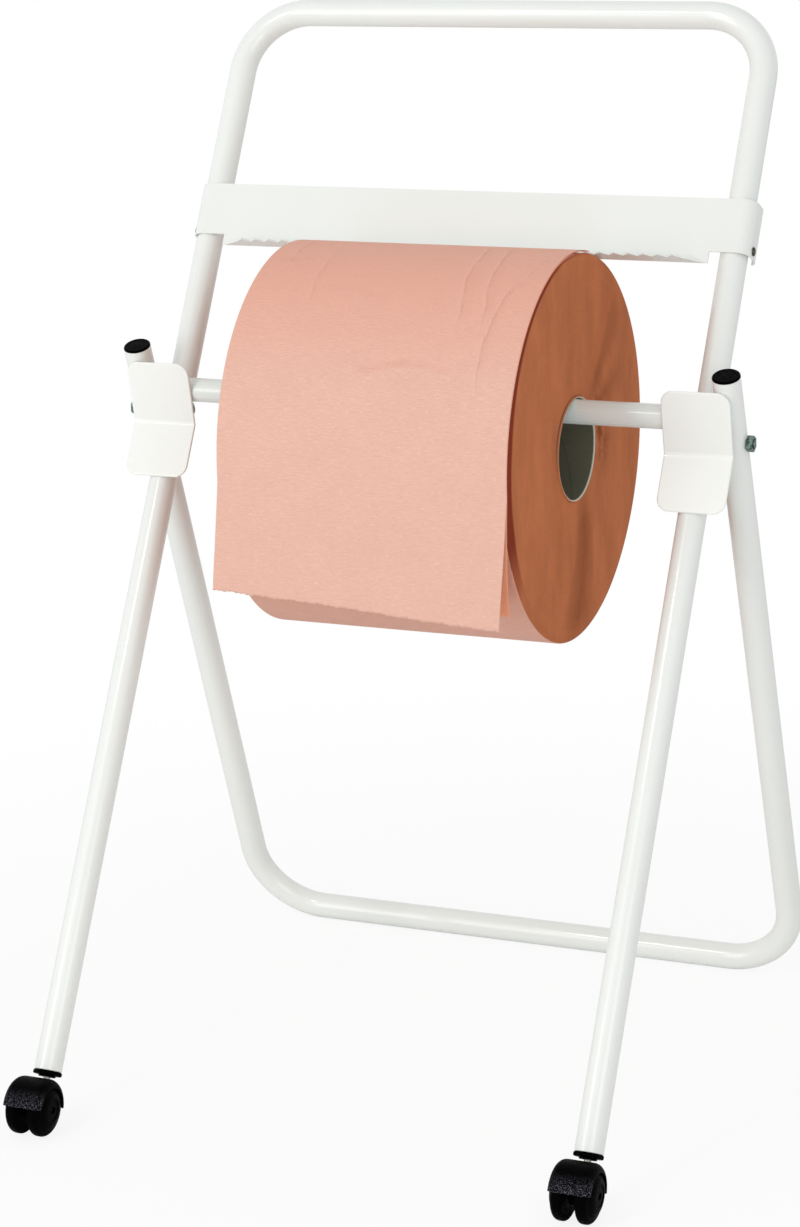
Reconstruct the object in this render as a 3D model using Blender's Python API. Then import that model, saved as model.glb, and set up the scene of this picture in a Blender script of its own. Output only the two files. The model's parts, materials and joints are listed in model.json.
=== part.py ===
"""Mobile folding floor stand for one large roll of wiping paper.

An inverted U of steel tube leans back and carries the handle, the tear bar and two
castors. A second U of tube is bolted outside it at the pivots and makes the rear foot.
Two bent bracket plates stop the rear frame and form the pockets that hold the spindle.

Metres, +Z up, +X to the right as seen from the front, the front faces -Y. The origin
lies on the floor, under the middle of the stand.

In the plane of the front frame, along is the distance up the legs from the pivot and
ahead is the distance in front of the leg centrelines.
"""

import math

import bmesh
import bpy
from mathutils import Vector

# Fits
FIT_GAP = 0.0003
CUTTER_OVERRUN = 0.01

# Frame tubes
TUBE_DIAMETER = 0.025
TUBE_WALL = 0.0015
TUBE_SIDES = 20
BEND_STEPS = 9

# Front frame
FRONT_LEAN = math.radians(32.0)
FRONT_WIDTH = 0.516
HANDLE_REACH = 0.4
HANDLE_BEND = 0.060

# Rear frame
REAR_LEAN = math.radians(17.1)
REAR_LENGTH = 0.59
REAR_STUB = 0.065
REAR_BEND = 0.068
PLUG_HEAD = 0.0022
PLUG_DEPTH = 0.018

# Pivot bolts
BOLT_DIAMETER = 0.008
BOLT_HEAD_DIAMETER = 0.015
BOLT_HEAD_HEIGHT = 0.0042
WASHER_DIAMETER = 0.017
WASHER_THICKNESS = 0.0015
NUT_ACROSS_CORNERS = 0.0147
NUT_HEIGHT = 0.0055
BOLT_END_BEYOND_NUT = 0.0008
BOLT_SIDES = 16
NUT_SIDES = 6

# Bracket plates
PLATE_THICKNESS = 0.0025
PLATE_WIDTH = 0.063
PLATE_INSET = 0.0295
PLATE_UPPER = 0.060
PLATE_LOWER = 0.052
PLATE_CORNER = 0.012
PLATE_CORNER_STEPS = 6
FOLD_BELOW_PIVOT = 0.018

# Spindle and roll
SPINDLE_DIAMETER = 0.022
SPINDLE_WALL = 0.0015
SPINDLE_END_PLAY = 0.0022
CORE_BORE = 0.0904
CORE_WALL = 0.0022
CORE_PROUD = 0.0008
ROLL_DIAMETER = 0.346
ROLL_WIDTH = 0.270
ROLL_SHIFT = 0.009
ROLL_SIDES = 64
CORE_SIDES = 32

# Hanging paper
SHEET_THICKNESS = 0.0005
SHEET_GAP = 0.0006
SHEET_START = math.radians(80.0)
SHEET_DROP_LEFT = 0.099
SHEET_DROP_RIGHT = 0.116
INNER_SHEET_SHORTER = 0.009
OUTER_SHEET_CURL = -0.002
INNER_SHEET_CURL = 0.013
OUTER_SHEET_SKEW = 0.010
INNER_SHEET_SKEW = 0.003
SHEET_WAVE = 0.0014
SHEET_COLUMNS = 14
SHEET_WRAP_ROWS = 14
SHEET_DROP_ROWS = 8

# Tear bar
BAR_THICKNESS = 0.0015
BAR_BOTTOM = 0.1695
BAR_HEIGHT = 0.050
LIP_END_CLEARANCE = 0.0075
LIP_DEPTH = 0.011
FLANGE_DEPTH = 0.0185
FLANGE_CHAMFER = 0.0205
TOOTH_PITCH = 0.0134
TOOTH_DEPTH = 0.0060
BAR_PLAY = 0.0012
WRAP_BEND = 0.011
WRAP_SIDE = 0.010
WRAP_CURL = math.radians(50.0)
WRAP_STEPS = 5
SCREW_ABOVE_BAR_BOTTOM = 0.0065
SCREW_DIAMETER = 0.0042
SCREW_HEAD_DIAMETER = 0.0080
SCREW_HEAD_HEIGHT = 0.0016
SCREW_LENGTH = 0.010
SCREW_SIDES = 16

# Castors
WHEEL_DIAMETER = 0.049
WHEEL_WIDTH = 0.0148
WHEEL_GAP = 0.0112
WHEEL_DOME = 0.0038
WHEEL_INNER_ROUNDING = 0.0035
WHEEL_OUTER_ROUNDING = 0.0050
ROUNDING_STEPS = 4
WHEEL_SIDES = 32
HUB_DIAMETER = 0.020
AXLE_DIAMETER = 0.006
AXLE_INSET = 0.003
AXLE_DROP = 0.0350
AXLE_LEAD = 0.0138
HOOD_CLEARANCE = 0.0008
HOOD_WALL = 0.0016
HOOD_FRONT = math.radians(24.0)
HOOD_BACK = math.radians(200.0)
HOOD_STEPS = 20
WEB_THICKNESS = 0.0096
WEB_HUB_DIAMETER = 0.020
WEB_SETBACK = math.radians(4.0)
BOSS_DIAMETER = 0.017
BOSS_BOTTOM = 0.0065
NECK_HEIGHT = 0.0028
NECK_DIAMETER = 0.0155
FLANGE_HEIGHT = 0.0038
FLANGE_DIAMETER = 0.0260
SLEEVE_LENGTH = 0.030
STEM_DIAMETER = 0.0064
STEM_SHORT_OF_SLEEVE = 0.004
ROUND_SIDES = 24

# Worked out from the sizes above
TUBE_RADIUS = TUBE_DIAMETER / 2
TUBE_BORE_RADIUS = TUBE_RADIUS - TUBE_WALL
WHEEL_RADIUS = WHEEL_DIAMETER / 2
FRONT_HALF = FRONT_WIDTH / 2
REAR_HALF = FRONT_HALF + TUBE_DIAMETER + WASHER_THICKNESS + 2 * FIT_GAP
PIVOT_HEIGHT = TUBE_RADIUS + REAR_LENGTH * math.cos(REAR_LEAN)
LEG_LENGTH = (
    PIVOT_HEIGHT - WHEEL_RADIUS + AXLE_LEAD * math.sin(FRONT_LEAN)
) / math.cos(FRONT_LEAN) - AXLE_DROP
HOOD_RADIUS = WHEEL_RADIUS + HOOD_CLEARANCE + HOOD_WALL
CASTOR_REACH = max(WHEEL_RADIUS, HOOD_RADIUS * math.cos(HOOD_FRONT))
TREAD_END = WHEEL_GAP / 2 + WHEEL_WIDTH - WHEEL_DOME - WHEEL_OUTER_ROUNDING
BOSS_WAIST = (WHEEL_GAP + WEB_THICKNESS) / 4
LIP_HALF = FRONT_HALF - TUBE_RADIUS - LIP_END_CLEARANCE
PLATE_INNER_EDGE = FRONT_HALF - PLATE_INSET
REACH_BACK = HANDLE_REACH * math.sin(FRONT_LEAN) + TUBE_RADIUS
REACH_AHEAD = (
    (LEG_LENGTH + AXLE_DROP) * math.sin(FRONT_LEAN)
    + AXLE_LEAD * math.cos(FRONT_LEAN)
    + CASTOR_REACH
)
PIVOT_Y = (REACH_AHEAD - REACH_BACK) / 2
PLATE_BACK = TUBE_RADIUS + FIT_GAP
OPENING_ANGLE = FRONT_LEAN + REAR_LEAN
BOLT_HOLE_RADIUS = BOLT_DIAMETER / 2 + FIT_GAP
SCREW_HOLE_RADIUS = SCREW_DIAMETER / 2 + FIT_GAP
SCREW_ALONG = BAR_BOTTOM + SCREW_ABOVE_BAR_BOTTOM


def plate_bend():
    """Angle of the bracket's upper half to the legs, so that its top edge stops the rear tubes."""
    short = (
        TUBE_RADIUS
        + FIT_GAP
        - FOLD_BELOW_PIVOT * math.sin(OPENING_ANGLE)
        - PLATE_BACK * math.cos(OPENING_ANGLE)
    )
    return OPENING_ANGLE + math.asin(short / PLATE_UPPER)


def spindle_place():
    """(along, ahead) of the spindle, resting between the legs and the upper halves of the plates."""
    reach = SPINDLE_DIAMETER / 2 + FIT_GAP
    bend = plate_bend()
    ahead = TUBE_RADIUS + reach
    along = (reach + (ahead - PLATE_BACK) * math.cos(bend)) / math.sin(bend) - FOLD_BELOW_PIVOT
    return along, ahead


def from_front_plane(along, ahead):
    """World (y, z) of a place in the plane of the front frame."""
    y = PIVOT_Y + along * math.sin(FRONT_LEAN) - ahead * math.cos(FRONT_LEAN)
    z = PIVOT_HEIGHT + along * math.cos(FRONT_LEAN) + ahead * math.sin(FRONT_LEAN)
    return y, z


def clear_scene():
    for obj in list(bpy.data.objects):
        bpy.data.objects.remove(obj, do_unlink=True)


def material(name, colour, roughness, metallic=0.0):
    made = bpy.data.materials.new(name)
    made.use_nodes = True
    shader = made.node_tree.nodes["Principled BSDF"]
    shader.inputs["Base Color"].default_value = (*colour, 1.0)
    shader.inputs["Roughness"].default_value = roughness
    shader.inputs["Metallic"].default_value = metallic
    return made


def axis_empty(name, location, rotation=(0, 0, 0), parent=None):
    empty = bpy.data.objects.new(name, None)
    empty.location = location
    empty.rotation_euler = rotation
    empty.parent = parent
    bpy.context.collection.objects.link(empty)
    return empty


def mesh_object(name, bm, finish, parent=None, location=(0, 0, 0), closed=True):
    if closed:
        bmesh.ops.recalc_face_normals(bm, faces=bm.faces)
    mesh = bpy.data.meshes.new(name)
    bm.to_mesh(mesh)
    bm.free()
    mesh.shade_smooth()
    mesh.set_sharp_from_angle(angle=math.radians(35))
    mesh.materials.append(finish)
    obj = bpy.data.objects.new(name, mesh)
    obj.parent = parent
    obj.location = location
    bpy.context.collection.objects.link(obj)
    return obj


def along_x(height, first, second):
    return Vector((height, first, second))


def along_z(height, first, second):
    return Vector((first, second, height))


def turned(profile, sides, place, hollow=False):
    """A profile of (height, radius) points carried round its axis, closed on itself when hollow."""
    bm = bmesh.new()
    rings = []
    for height, radius in profile:
        if radius == 0:
            rings.append([bm.verts.new(place(height, 0, 0))])
            continue
        turns = [2 * math.pi * side / sides for side in range(sides)]
        rings.append(
            [
                bm.verts.new(place(height, radius * math.cos(turn), radius * math.sin(turn)))
                for turn in turns
            ]
        )
    pairs = list(zip(rings, rings[1:]))
    if hollow:
        pairs.append((rings[-1], rings[0]))
    for low, high in pairs:
        for side in range(sides):
            after = (side + 1) % sides
            if len(low) == 1:
                bm.faces.new((low[0], high[side], high[after]))
            elif len(high) == 1:
                bm.faces.new((low[side], low[after], high[0]))
            else:
                bm.faces.new((low[side], low[after], high[after], high[side]))
    return bm


def extruded(outline, start, end, place):
    """A flat outline carried straight from start to end along the axis of place."""
    bm = bmesh.new()
    near = [bm.verts.new(place(start, u, v)) for u, v in outline]
    far = [bm.verts.new(place(end, u, v)) for u, v in outline]
    bm.faces.new(near)
    bm.faces.new(list(reversed(far)))
    for index in range(len(outline)):
        after = (index + 1) % len(outline)
        bm.faces.new((near[index], near[after], far[after], far[index]))
    return bm


def boolean(obj, other, operation):
    """Cuts or joins another object, which stays in the scene as a hidden helper."""
    other.hide_render = True
    other.display_type = "WIRE"
    step = obj.modifiers.new(operation.title() + " " + other.name, "BOOLEAN")
    step.operation = operation
    step.solver = "EXACT"
    step.object = other


def frame_line(half, end, far, bend):
    """Centreline of a U of tube in its own plane, from one open end round the crossbar to the other."""
    toward = 1 if far > end else -1
    line = [(-half, end)]
    for step in range(BEND_STEPS + 1):
        turn = math.pi / 2 * step / BEND_STEPS
        line.append(
            (-half + bend * (1 - math.cos(turn)), far - toward * bend * (1 - math.sin(turn)))
        )
    return line + [(-x, z) for x, z in reversed(line)]


def frame_tube(name, line, finish, parent):
    """A hollow tube swept along a line in the local XZ plane, with open ends."""
    bm = bmesh.new()
    loops = []
    last = len(line) - 1
    for index, (x, z) in enumerate(line):
        before = Vector(line[max(index - 1, 0)])
        after = Vector(line[min(index + 1, last)])
        run = (after - before).normalized()
        across = Vector((-run.y, 0, run.x))
        for radius in (TUBE_RADIUS, TUBE_BORE_RADIUS):
            ring = []
            for side in range(TUBE_SIDES):
                turn = 2 * math.pi * side / TUBE_SIDES
                offset = across * radius * math.cos(turn) + Vector((0, radius * math.sin(turn), 0))
                ring.append(bm.verts.new(Vector((x, 0, z)) + offset))
            loops.append(ring)
    outer = loops[0::2]
    inner = loops[1::2]
    runs = list(zip(outer, outer[1:])) + [(b, a) for a, b in zip(inner, inner[1:])]
    runs += [(inner[0], outer[0]), (outer[last], inner[last])]
    for low, high in runs:
        for side in range(TUBE_SIDES):
            after = (side + 1) % TUBE_SIDES
            bm.faces.new((low[side], low[after], high[after], high[side]))
    return mesh_object(name, bm, finish, parent)


def bar_cutter(name, radius, start, end, along, parent):
    """A round cutter along X, which makes the bolt and screw holes."""
    profile = [(start, 0), (start, radius), (end, radius), (end, 0)]
    finish = bpy.data.materials["zinc plate"]
    return mesh_object(
        name, turned(profile, BOLT_SIDES, along_x), finish, parent, location=(0, 0, along)
    )


def make_front_frame(plane, white):
    line = frame_line(FRONT_HALF, -LEG_LENGTH, HANDLE_REACH, HANDLE_BEND)
    frame = frame_tube("front_frame", line, white, plane)
    reach = FRONT_HALF + TUBE_RADIUS + CUTTER_OVERRUN
    bolt_hole = bar_cutter("front_bolt_hole", BOLT_HOLE_RADIUS, -reach, reach, 0, plane)
    boolean(frame, bolt_hole, "DIFFERENCE")
    return frame


def make_rear_frame(plane, white, black):
    line = frame_line(REAR_HALF, REAR_STUB, -REAR_LENGTH, REAR_BEND)
    frame = frame_tube("rear_frame", line, white, plane)
    reach = REAR_HALF + TUBE_RADIUS + CUTTER_OVERRUN
    bolt_hole = bar_cutter("rear_bolt_hole", BOLT_HOLE_RADIUS, -reach, reach, 0, plane)
    boolean(frame, bolt_hole, "DIFFERENCE")
    seat = REAR_STUB + FIT_GAP
    shank = TUBE_BORE_RADIUS - FIT_GAP
    edge = PLUG_HEAD / 2
    profile = [
        (seat - PLUG_DEPTH, 0),
        (seat - PLUG_DEPTH, shank),
        (seat, shank),
        (seat, TUBE_RADIUS),
        (seat + edge, TUBE_RADIUS),
        (seat + PLUG_HEAD, TUBE_RADIUS - edge),
        (seat + PLUG_HEAD, 0),
    ]
    for side, name in ((-1, "left"), (1, "right")):
        plug = turned(profile, TUBE_SIDES, along_z)
        mesh_object("rear_plug_" + name, plug, black, plane, (side * REAR_HALF, 0, 0))


def make_pivot_bolts(plane, zinc):
    """Bolt, washer and lock nut on each side, with the head inside the front leg and the nut outside."""
    head = FRONT_HALF - TUBE_RADIUS - FIT_GAP
    shank = BOLT_DIAMETER / 2
    washer = FRONT_HALF + TUBE_RADIUS + FIT_GAP
    nut = REAR_HALF + TUBE_RADIUS + FIT_GAP
    end = nut + NUT_HEIGHT + BOLT_END_BEYOND_NUT
    crown = BOLT_HEAD_DIAMETER / 2
    bolt_profile = [
        (head - BOLT_HEAD_HEIGHT, 0),
        (head - BOLT_HEAD_HEIGHT, crown / 2),
        (head - BOLT_HEAD_HEIGHT / 2, crown),
        (head, crown),
        (head, shank),
        (end, shank),
        (end, 0),
    ]
    hole = BOLT_HOLE_RADIUS
    washer_profile = [
        (washer, hole),
        (washer, WASHER_DIAMETER / 2),
        (washer + WASHER_THICKNESS, WASHER_DIAMETER / 2),
        (washer + WASHER_THICKNESS, hole),
    ]
    corner = NUT_ACROSS_CORNERS / 2
    nut_hole = hole / math.cos(math.pi / NUT_SIDES)
    nut_profile = [
        (nut, nut_hole),
        (nut, corner),
        (nut + NUT_HEIGHT, corner),
        (nut + NUT_HEIGHT, nut_hole),
    ]
    for side, name in ((-1, "left"), (1, "right")):
        pieces = (
            ("pivot_bolt_", bolt_profile, BOLT_SIDES, False),
            ("pivot_washer_", washer_profile, ROUND_SIDES, True),
            ("pivot_nut_", nut_profile, NUT_SIDES, True),
        )
        for kind, profile, sides, hollow in pieces:
            mirrored = [(side * height, radius) for height, radius in profile]
            mesh_object(kind + name, turned(mirrored, sides, along_x, hollow), zinc, plane)


def plate_outline():
    """(x, distance from the fold) round one plate, whose corners are rounded, upper half first."""
    left = PLATE_INNER_EDGE
    right = PLATE_INNER_EDGE + PLATE_WIDTH
    upper = [(right, 0.0)]
    lower = [(left, 0.0)]
    for points, reach, corners in (
        (upper, PLATE_UPPER, ((right, 0), (left, 1))),
        (lower, -PLATE_LOWER, ((left, 2), (right, 3))),
    ):
        for edge, quarter in corners:
            inward = -1 if edge == right else 1
            centre_x = edge + inward * PLATE_CORNER
            centre_s = reach - math.copysign(PLATE_CORNER, reach)
            for step in range(PLATE_CORNER_STEPS + 1):
                turn = math.pi / 2 * (quarter + step / PLATE_CORNER_STEPS)
                points.append(
                    (
                        centre_x + PLATE_CORNER * math.cos(turn),
                        centre_s + PLATE_CORNER * math.sin(turn),
                    )
                )
    upper.append((left, 0.0))
    lower.append((right, 0.0))
    return upper, lower


def make_brackets(plane, white):
    """Bent plates, fixed flat to the legs below the fold and leaning out above it."""
    bend = plate_bend()
    upper, lower = plate_outline()
    mitre = math.tan(bend / 2)

    def place(side, x, run, depth):
        """depth is measured from the back of the plate through its thickness."""
        if run > 0:
            along = run * math.cos(bend) - depth * math.sin(bend)
            ahead = run * math.sin(bend) + depth * math.cos(bend)
        elif run < 0:
            along = run
            ahead = depth
        else:
            along = -depth * mitre
            ahead = depth
        return Vector((side * x, -PLATE_BACK - ahead, along - FOLD_BELOW_PIVOT))

    for side, name in ((-1, "left"), (1, "right")):
        bm = bmesh.new()
        layers = []
        for depth in (0, PLATE_THICKNESS):
            made = {}
            for point in upper + lower:
                if point not in made:
                    made[point] = bm.verts.new(place(side, *point, depth))
            layers.append(made)
            bm.faces.new([made[point] for point in upper])
            bm.faces.new([made[point] for point in lower])
        rim = upper[:-1] + lower[:-1]
        for index, point in enumerate(rim):
            after = rim[(index + 1) % len(rim)]
            bm.faces.new((layers[0][point], layers[0][after], layers[1][after], layers[1][point]))
        mesh_object("bracket_" + name, bm, white, plane)


def bar_profile():
    """(x, ahead) of the tear bar's inner face seen from above, from the left wrap to the right.

    Each end bends back past its leg, runs straight along its side and curls in behind it."""
    front = TUBE_RADIUS + FIT_GAP
    middle = FRONT_HALF + front + BAR_PLAY - WRAP_BEND
    right = []
    for start, turn, ahead in (
        (0, math.pi / 2, front - WRAP_BEND),
        (math.pi / 2, WRAP_CURL, front - WRAP_BEND - WRAP_SIDE),
    ):
        for step in range(WRAP_STEPS + 1):
            angle = start + turn * step / WRAP_STEPS
            right.append(
                (middle + WRAP_BEND * math.sin(angle), ahead + WRAP_BEND * math.cos(angle))
            )
    left = [(-x, ahead) for x, ahead in reversed(right)]
    return left + [(-LIP_HALF, front), (LIP_HALF, front)] + right


def tooth_line():
    """(x, ahead) of the toothed free edge of the flange, from left to right."""
    half = LIP_HALF - FLANGE_CHAMFER
    count = max(round(2 * half / TOOTH_PITCH), 1)
    pitch = 2 * half / count
    tip = TUBE_RADIUS + FIT_GAP + FLANGE_DEPTH
    line = []
    for index in range(count):
        line.append((-half + index * pitch, tip - TOOTH_DEPTH))
        line.append((-half + (index + 1 / 2) * pitch, tip))
    line.append((half, tip - TOOTH_DEPTH))
    return line


def make_tear_bar(plane, white, zinc):
    """A folded strip: face, wraps round the legs, and a toothed flange along its lower lip.

    The wraps have play round the legs, and the bar is pushed to the right until its left
    wrap meets the left leg."""
    bm = bmesh.new()
    profile = bar_profile()
    top = BAR_BOTTOM + BAR_HEIGHT
    high = [bm.verts.new((x, -ahead, top)) for x, ahead in profile]
    low = [bm.verts.new((x, -ahead, BAR_BOTTOM)) for x, ahead in profile]
    for index in range(len(profile) - 1):
        bm.faces.new((low[index], low[index + 1], high[index + 1], high[index]))
    middle = len(profile) // 2
    ahead = TUBE_RADIUS + FIT_GAP
    fold = BAR_BOTTOM - LIP_DEPTH
    folds = [bm.verts.new((side * LIP_HALF, -ahead, fold)) for side in (-1, 1)]
    bm.faces.new((folds[0], folds[1], low[middle], low[middle - 1]))
    teeth = [bm.verts.new((x, -reach, fold)) for x, reach in tooth_line()]
    bm.faces.new([folds[0]] + teeth + [folds[1]])
    bar = mesh_object("tear_bar", bm, white, plane, (BAR_PLAY, 0, 0), closed=False)
    thicken = bar.modifiers.new("Sheet", "SOLIDIFY")
    thicken.thickness = BAR_THICKNESS
    thicken.offset = 1
    thicken.use_even_offset = True
    crown = SCREW_HEAD_DIAMETER / 2
    shank = SCREW_DIAMETER / 2
    for side, name, play in ((-1, "left", 0), (1, "right", 2 * BAR_PLAY)):
        side_face = FRONT_HALF + TUBE_RADIUS + FIT_GAP + play + BAR_THICKNESS
        head = side_face + FIT_GAP
        screw_profile = [
            (head - SCREW_LENGTH, 0),
            (head - SCREW_LENGTH, shank / 2),
            (head - SCREW_LENGTH + shank, shank),
            (head, shank),
            (head, crown),
            (head + SCREW_HEAD_HEIGHT / 2, crown),
            (head + SCREW_HEAD_HEIGHT, crown / 2),
            (head + SCREW_HEAD_HEIGHT, 0),
        ]
        start = side * (FRONT_HALF + TUBE_BORE_RADIUS / 2)
        end = side * (side_face + CUTTER_OVERRUN)
        hole = bar_cutter(
            "screw_hole_" + name, SCREW_HOLE_RADIUS, start, end, SCREW_ALONG, plane
        )
        boolean(bar, hole, "DIFFERENCE")
        boolean(bpy.data.objects["front_frame"], hole, "DIFFERENCE")
        mirrored = [(side * height, radius) for height, radius in screw_profile]
        mesh_object(
            "tear_bar_screw_" + name,
            turned(mirrored, SCREW_SIDES, along_x),
            zinc,
            plane,
            (0, 0, SCREW_ALONG),
        )


def ring_profile(half, inner, outer):
    return [(-half, inner), (-half, outer), (half, outer), (half, inner)]


def sheet_path(radius, curl, drop):
    """(y, z, outward y, outward z) down one hanging sheet, over the roll and then free."""
    path = []
    for row in range(SHEET_WRAP_ROWS):
        turn = SHEET_START * (1 - row / SHEET_WRAP_ROWS)
        out = (-math.cos(turn), math.sin(turn))
        path.append((radius * out[0], radius * out[1], *out))
    for row in range(SHEET_DROP_ROWS + 1):
        share = row / SHEET_DROP_ROWS
        path.append((-radius + curl * share**2, -drop * share, -1, 0))
    return path


def make_sheet(name, radius, curl, shorter, skew, finish, parent):
    """A thin closed sheet over the front of the roll, whose free part is askew and has shallow waves."""
    bm = bmesh.new()
    sides = []
    for depth in (0, SHEET_THICKNESS):
        columns = []
        for column in range(SHEET_COLUMNS + 1):
            share = column / SHEET_COLUMNS
            x = ROLL_WIDTH * (share - 1 / 2)
            drop = SHEET_DROP_LEFT + (SHEET_DROP_RIGHT - SHEET_DROP_LEFT) * share - shorter
            made = []
            for y, z, out_y, out_z in sheet_path(radius, curl, drop):
                hang = max(-z / drop, 0)
                wave = SHEET_WAVE * hang * math.sin(2 * math.pi * share)
                place = (x - skew * hang, y + out_y * depth + wave, z + out_z * depth)
                made.append(bm.verts.new(place))
            columns.append(made)
        sides.append(columns)
        for left, right in zip(columns, columns[1:]):
            for row in range(len(left) - 1):
                bm.faces.new((left[row], left[row + 1], right[row + 1], right[row]))
    back, front = sides
    rim = [(back[c][0], front[c][0]) for c in range(SHEET_COLUMNS)]
    rim += list(zip(back[-1][:-1], front[-1][:-1]))
    rim += [(back[c][-1], front[c][-1]) for c in range(SHEET_COLUMNS, 0, -1)]
    rim += list(zip(reversed(back[0][1:]), reversed(front[0][1:])))
    for index, (inner, outer) in enumerate(rim):
        next_inner, next_outer = rim[(index + 1) % len(rim)]
        bm.faces.new((inner, next_inner, next_outer, outer))
    mesh_object(name, bm, finish, parent)


def make_roll(bright, card, paper):
    """Spindle, card core, wound paper and the two sheets that hang from its front."""
    y, z = from_front_plane(*spindle_place())
    spindle_axis = axis_empty("spindle_axis", (0, y, z))
    spindle_radius = SPINDLE_DIAMETER / 2
    half = REAR_HALF - TUBE_RADIUS - SPINDLE_END_PLAY
    spindle = turned(
        ring_profile(half, spindle_radius - SPINDLE_WALL, spindle_radius),
        ROUND_SIDES,
        along_x,
        hollow=True,
    )
    mesh_object("spindle", spindle, bright, spindle_axis)
    core_bore = CORE_BORE / 2
    core_outer = core_bore + CORE_WALL
    hang = core_bore - spindle_radius - FIT_GAP
    roll_axis = axis_empty("roll_axis", (ROLL_SHIFT, y, z - hang))
    core_half = ROLL_WIDTH / 2 + CORE_PROUD
    core = turned(
        ring_profile(core_half, core_bore, core_outer), CORE_SIDES, along_x, hollow=True
    )
    mesh_object("roll_core", core, card, roll_axis)
    roll_radius = ROLL_DIAMETER / 2
    roll = turned(
        ring_profile(ROLL_WIDTH / 2, core_outer + FIT_GAP, roll_radius),
        ROLL_SIDES,
        along_x,
        hollow=True,
    )
    mesh_object("paper_roll", roll, paper, roll_axis)
    inner = roll_radius + SHEET_GAP
    outer = inner + SHEET_THICKNESS + SHEET_GAP
    tail = axis_empty("tail_place", (ROLL_SHIFT, y, z - hang))
    make_sheet(
        "sheet_inner", inner, INNER_SHEET_CURL, INNER_SHEET_SHORTER, INNER_SHEET_SKEW, paper, tail
    )
    make_sheet("sheet_outer", outer, OUTER_SHEET_CURL, 0, OUTER_SHEET_SKEW, paper, tail)


def make_socket(name, swivel, black):
    """Plastic sleeve in the end of the leg, with its flange and neck below the tube."""
    hole = STEM_DIAMETER / 2 + FIT_GAP
    flange_top = -FIT_GAP
    flange_low = flange_top - FLANGE_HEIGHT
    neck_low = flange_low - NECK_HEIGHT
    profile = [
        (neck_low, hole),
        (neck_low, NECK_DIAMETER / 2),
        (flange_low, NECK_DIAMETER / 2),
        (flange_low, FLANGE_DIAMETER / 2),
        (flange_top, FLANGE_DIAMETER / 2),
        (flange_top, TUBE_BORE_RADIUS - FIT_GAP),
        (SLEEVE_LENGTH, TUBE_BORE_RADIUS - FIT_GAP),
        (SLEEVE_LENGTH, hole),
    ]
    mesh_object(name, turned(profile, ROUND_SIDES, along_z, hollow=True), black, swivel)


def arc_points(radius, start, end, steps):
    """(y, z) points of an arc round the axle, where a turn of zero is level and to the front."""
    turns = [start + (end - start) * step / steps - FRONT_LEAN for step in range(steps + 1)]
    return [(-radius * math.cos(turn), radius * math.sin(turn)) for turn in turns]


def quarter(middle, height, radius):
    """(x, radius) points of a quarter circle that runs outwards and down from its top."""
    turns = [math.pi / 2 * step / ROUNDING_STEPS for step in range(ROUNDING_STEPS + 1)]
    return [
        (middle + radius * math.sin(turn), height + radius * math.cos(turn)) for turn in turns
    ]


def make_hood(name, axle, black):
    """Curved cover over both wheels, the web between them and the boss that holds the stem."""
    inner_radius = HOOD_RADIUS - HOOD_WALL
    height = WHEEL_RADIUS - WHEEL_OUTER_ROUNDING
    outer = quarter(TREAD_END, height, HOOD_RADIUS - height)
    inner = quarter(TREAD_END, height, inner_radius - height)
    section = [(-x, radius) for x, radius in reversed(outer)] + outer
    section += inner[::-1] + [(-x, radius) for x, radius in inner]
    bm = bmesh.new()
    rows = []
    for x, radius in section:
        arc = arc_points(radius, HOOD_FRONT, HOOD_BACK, HOOD_STEPS)
        rows.append([bm.verts.new((x, y, z)) for y, z in arc])
    for index, row in enumerate(rows):
        after = rows[(index + 1) % len(rows)]
        for step in range(HOOD_STEPS):
            bm.faces.new((row[step], row[step + 1], after[step + 1], after[step]))
    half = len(section) // 2
    for step in (0, HOOD_STEPS):
        for index in range(half - 1):
            opposite = len(section) - 1 - index
            bm.faces.new(
                (
                    rows[index][step],
                    rows[index + 1][step],
                    rows[opposite - 1][step],
                    rows[opposite][step],
                )
            )
    hood = mesh_object(name, bm, black, axle)
    middle = HOOD_RADIUS - HOOD_WALL / 2
    hub = WEB_HUB_DIAMETER / 2
    start = HOOD_FRONT + WEB_SETBACK
    end = HOOD_BACK - WEB_SETBACK
    web_outline = arc_points(middle, start, end, HOOD_STEPS)
    web_outline += arc_points(hub, end, 2 * math.pi + start, HOOD_STEPS)
    web = extruded(web_outline, -WEB_THICKNESS / 2, WEB_THICKNESS / 2, along_x)
    web_piece = mesh_object(name + "_web", web, black, axle)
    boolean(hood, web_piece, "UNION")
    boss_top = AXLE_DROP - FLANGE_HEIGHT - NECK_HEIGHT - 2 * FIT_GAP
    boss_profile = [
        (BOSS_BOTTOM, 0),
        (BOSS_BOTTOM, BOSS_WAIST),
        (math.sqrt(inner_radius**2 - AXLE_LEAD**2), BOSS_WAIST),
        (inner_radius, BOSS_DIAMETER / 2),
        (boss_top, BOSS_DIAMETER / 2),
        (boss_top, 0),
    ]
    boss = turned(boss_profile, ROUND_SIDES, along_z)
    boss_piece = mesh_object(name + "_boss", boss, black, axle, (0, AXLE_LEAD, 0))
    boolean(hood, boss_piece, "UNION")
    axle_hole = AXLE_DIAMETER / 2 + FIT_GAP
    reach = WEB_THICKNESS / 2 + CUTTER_OVERRUN
    axle_cut = turned(
        [(-reach, 0), (-reach, axle_hole), (reach, axle_hole), (reach, 0)], BOLT_SIDES, along_x
    )
    boolean(hood, mesh_object(name + "_axle_hole", axle_cut, black, axle), "DIFFERENCE")


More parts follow.
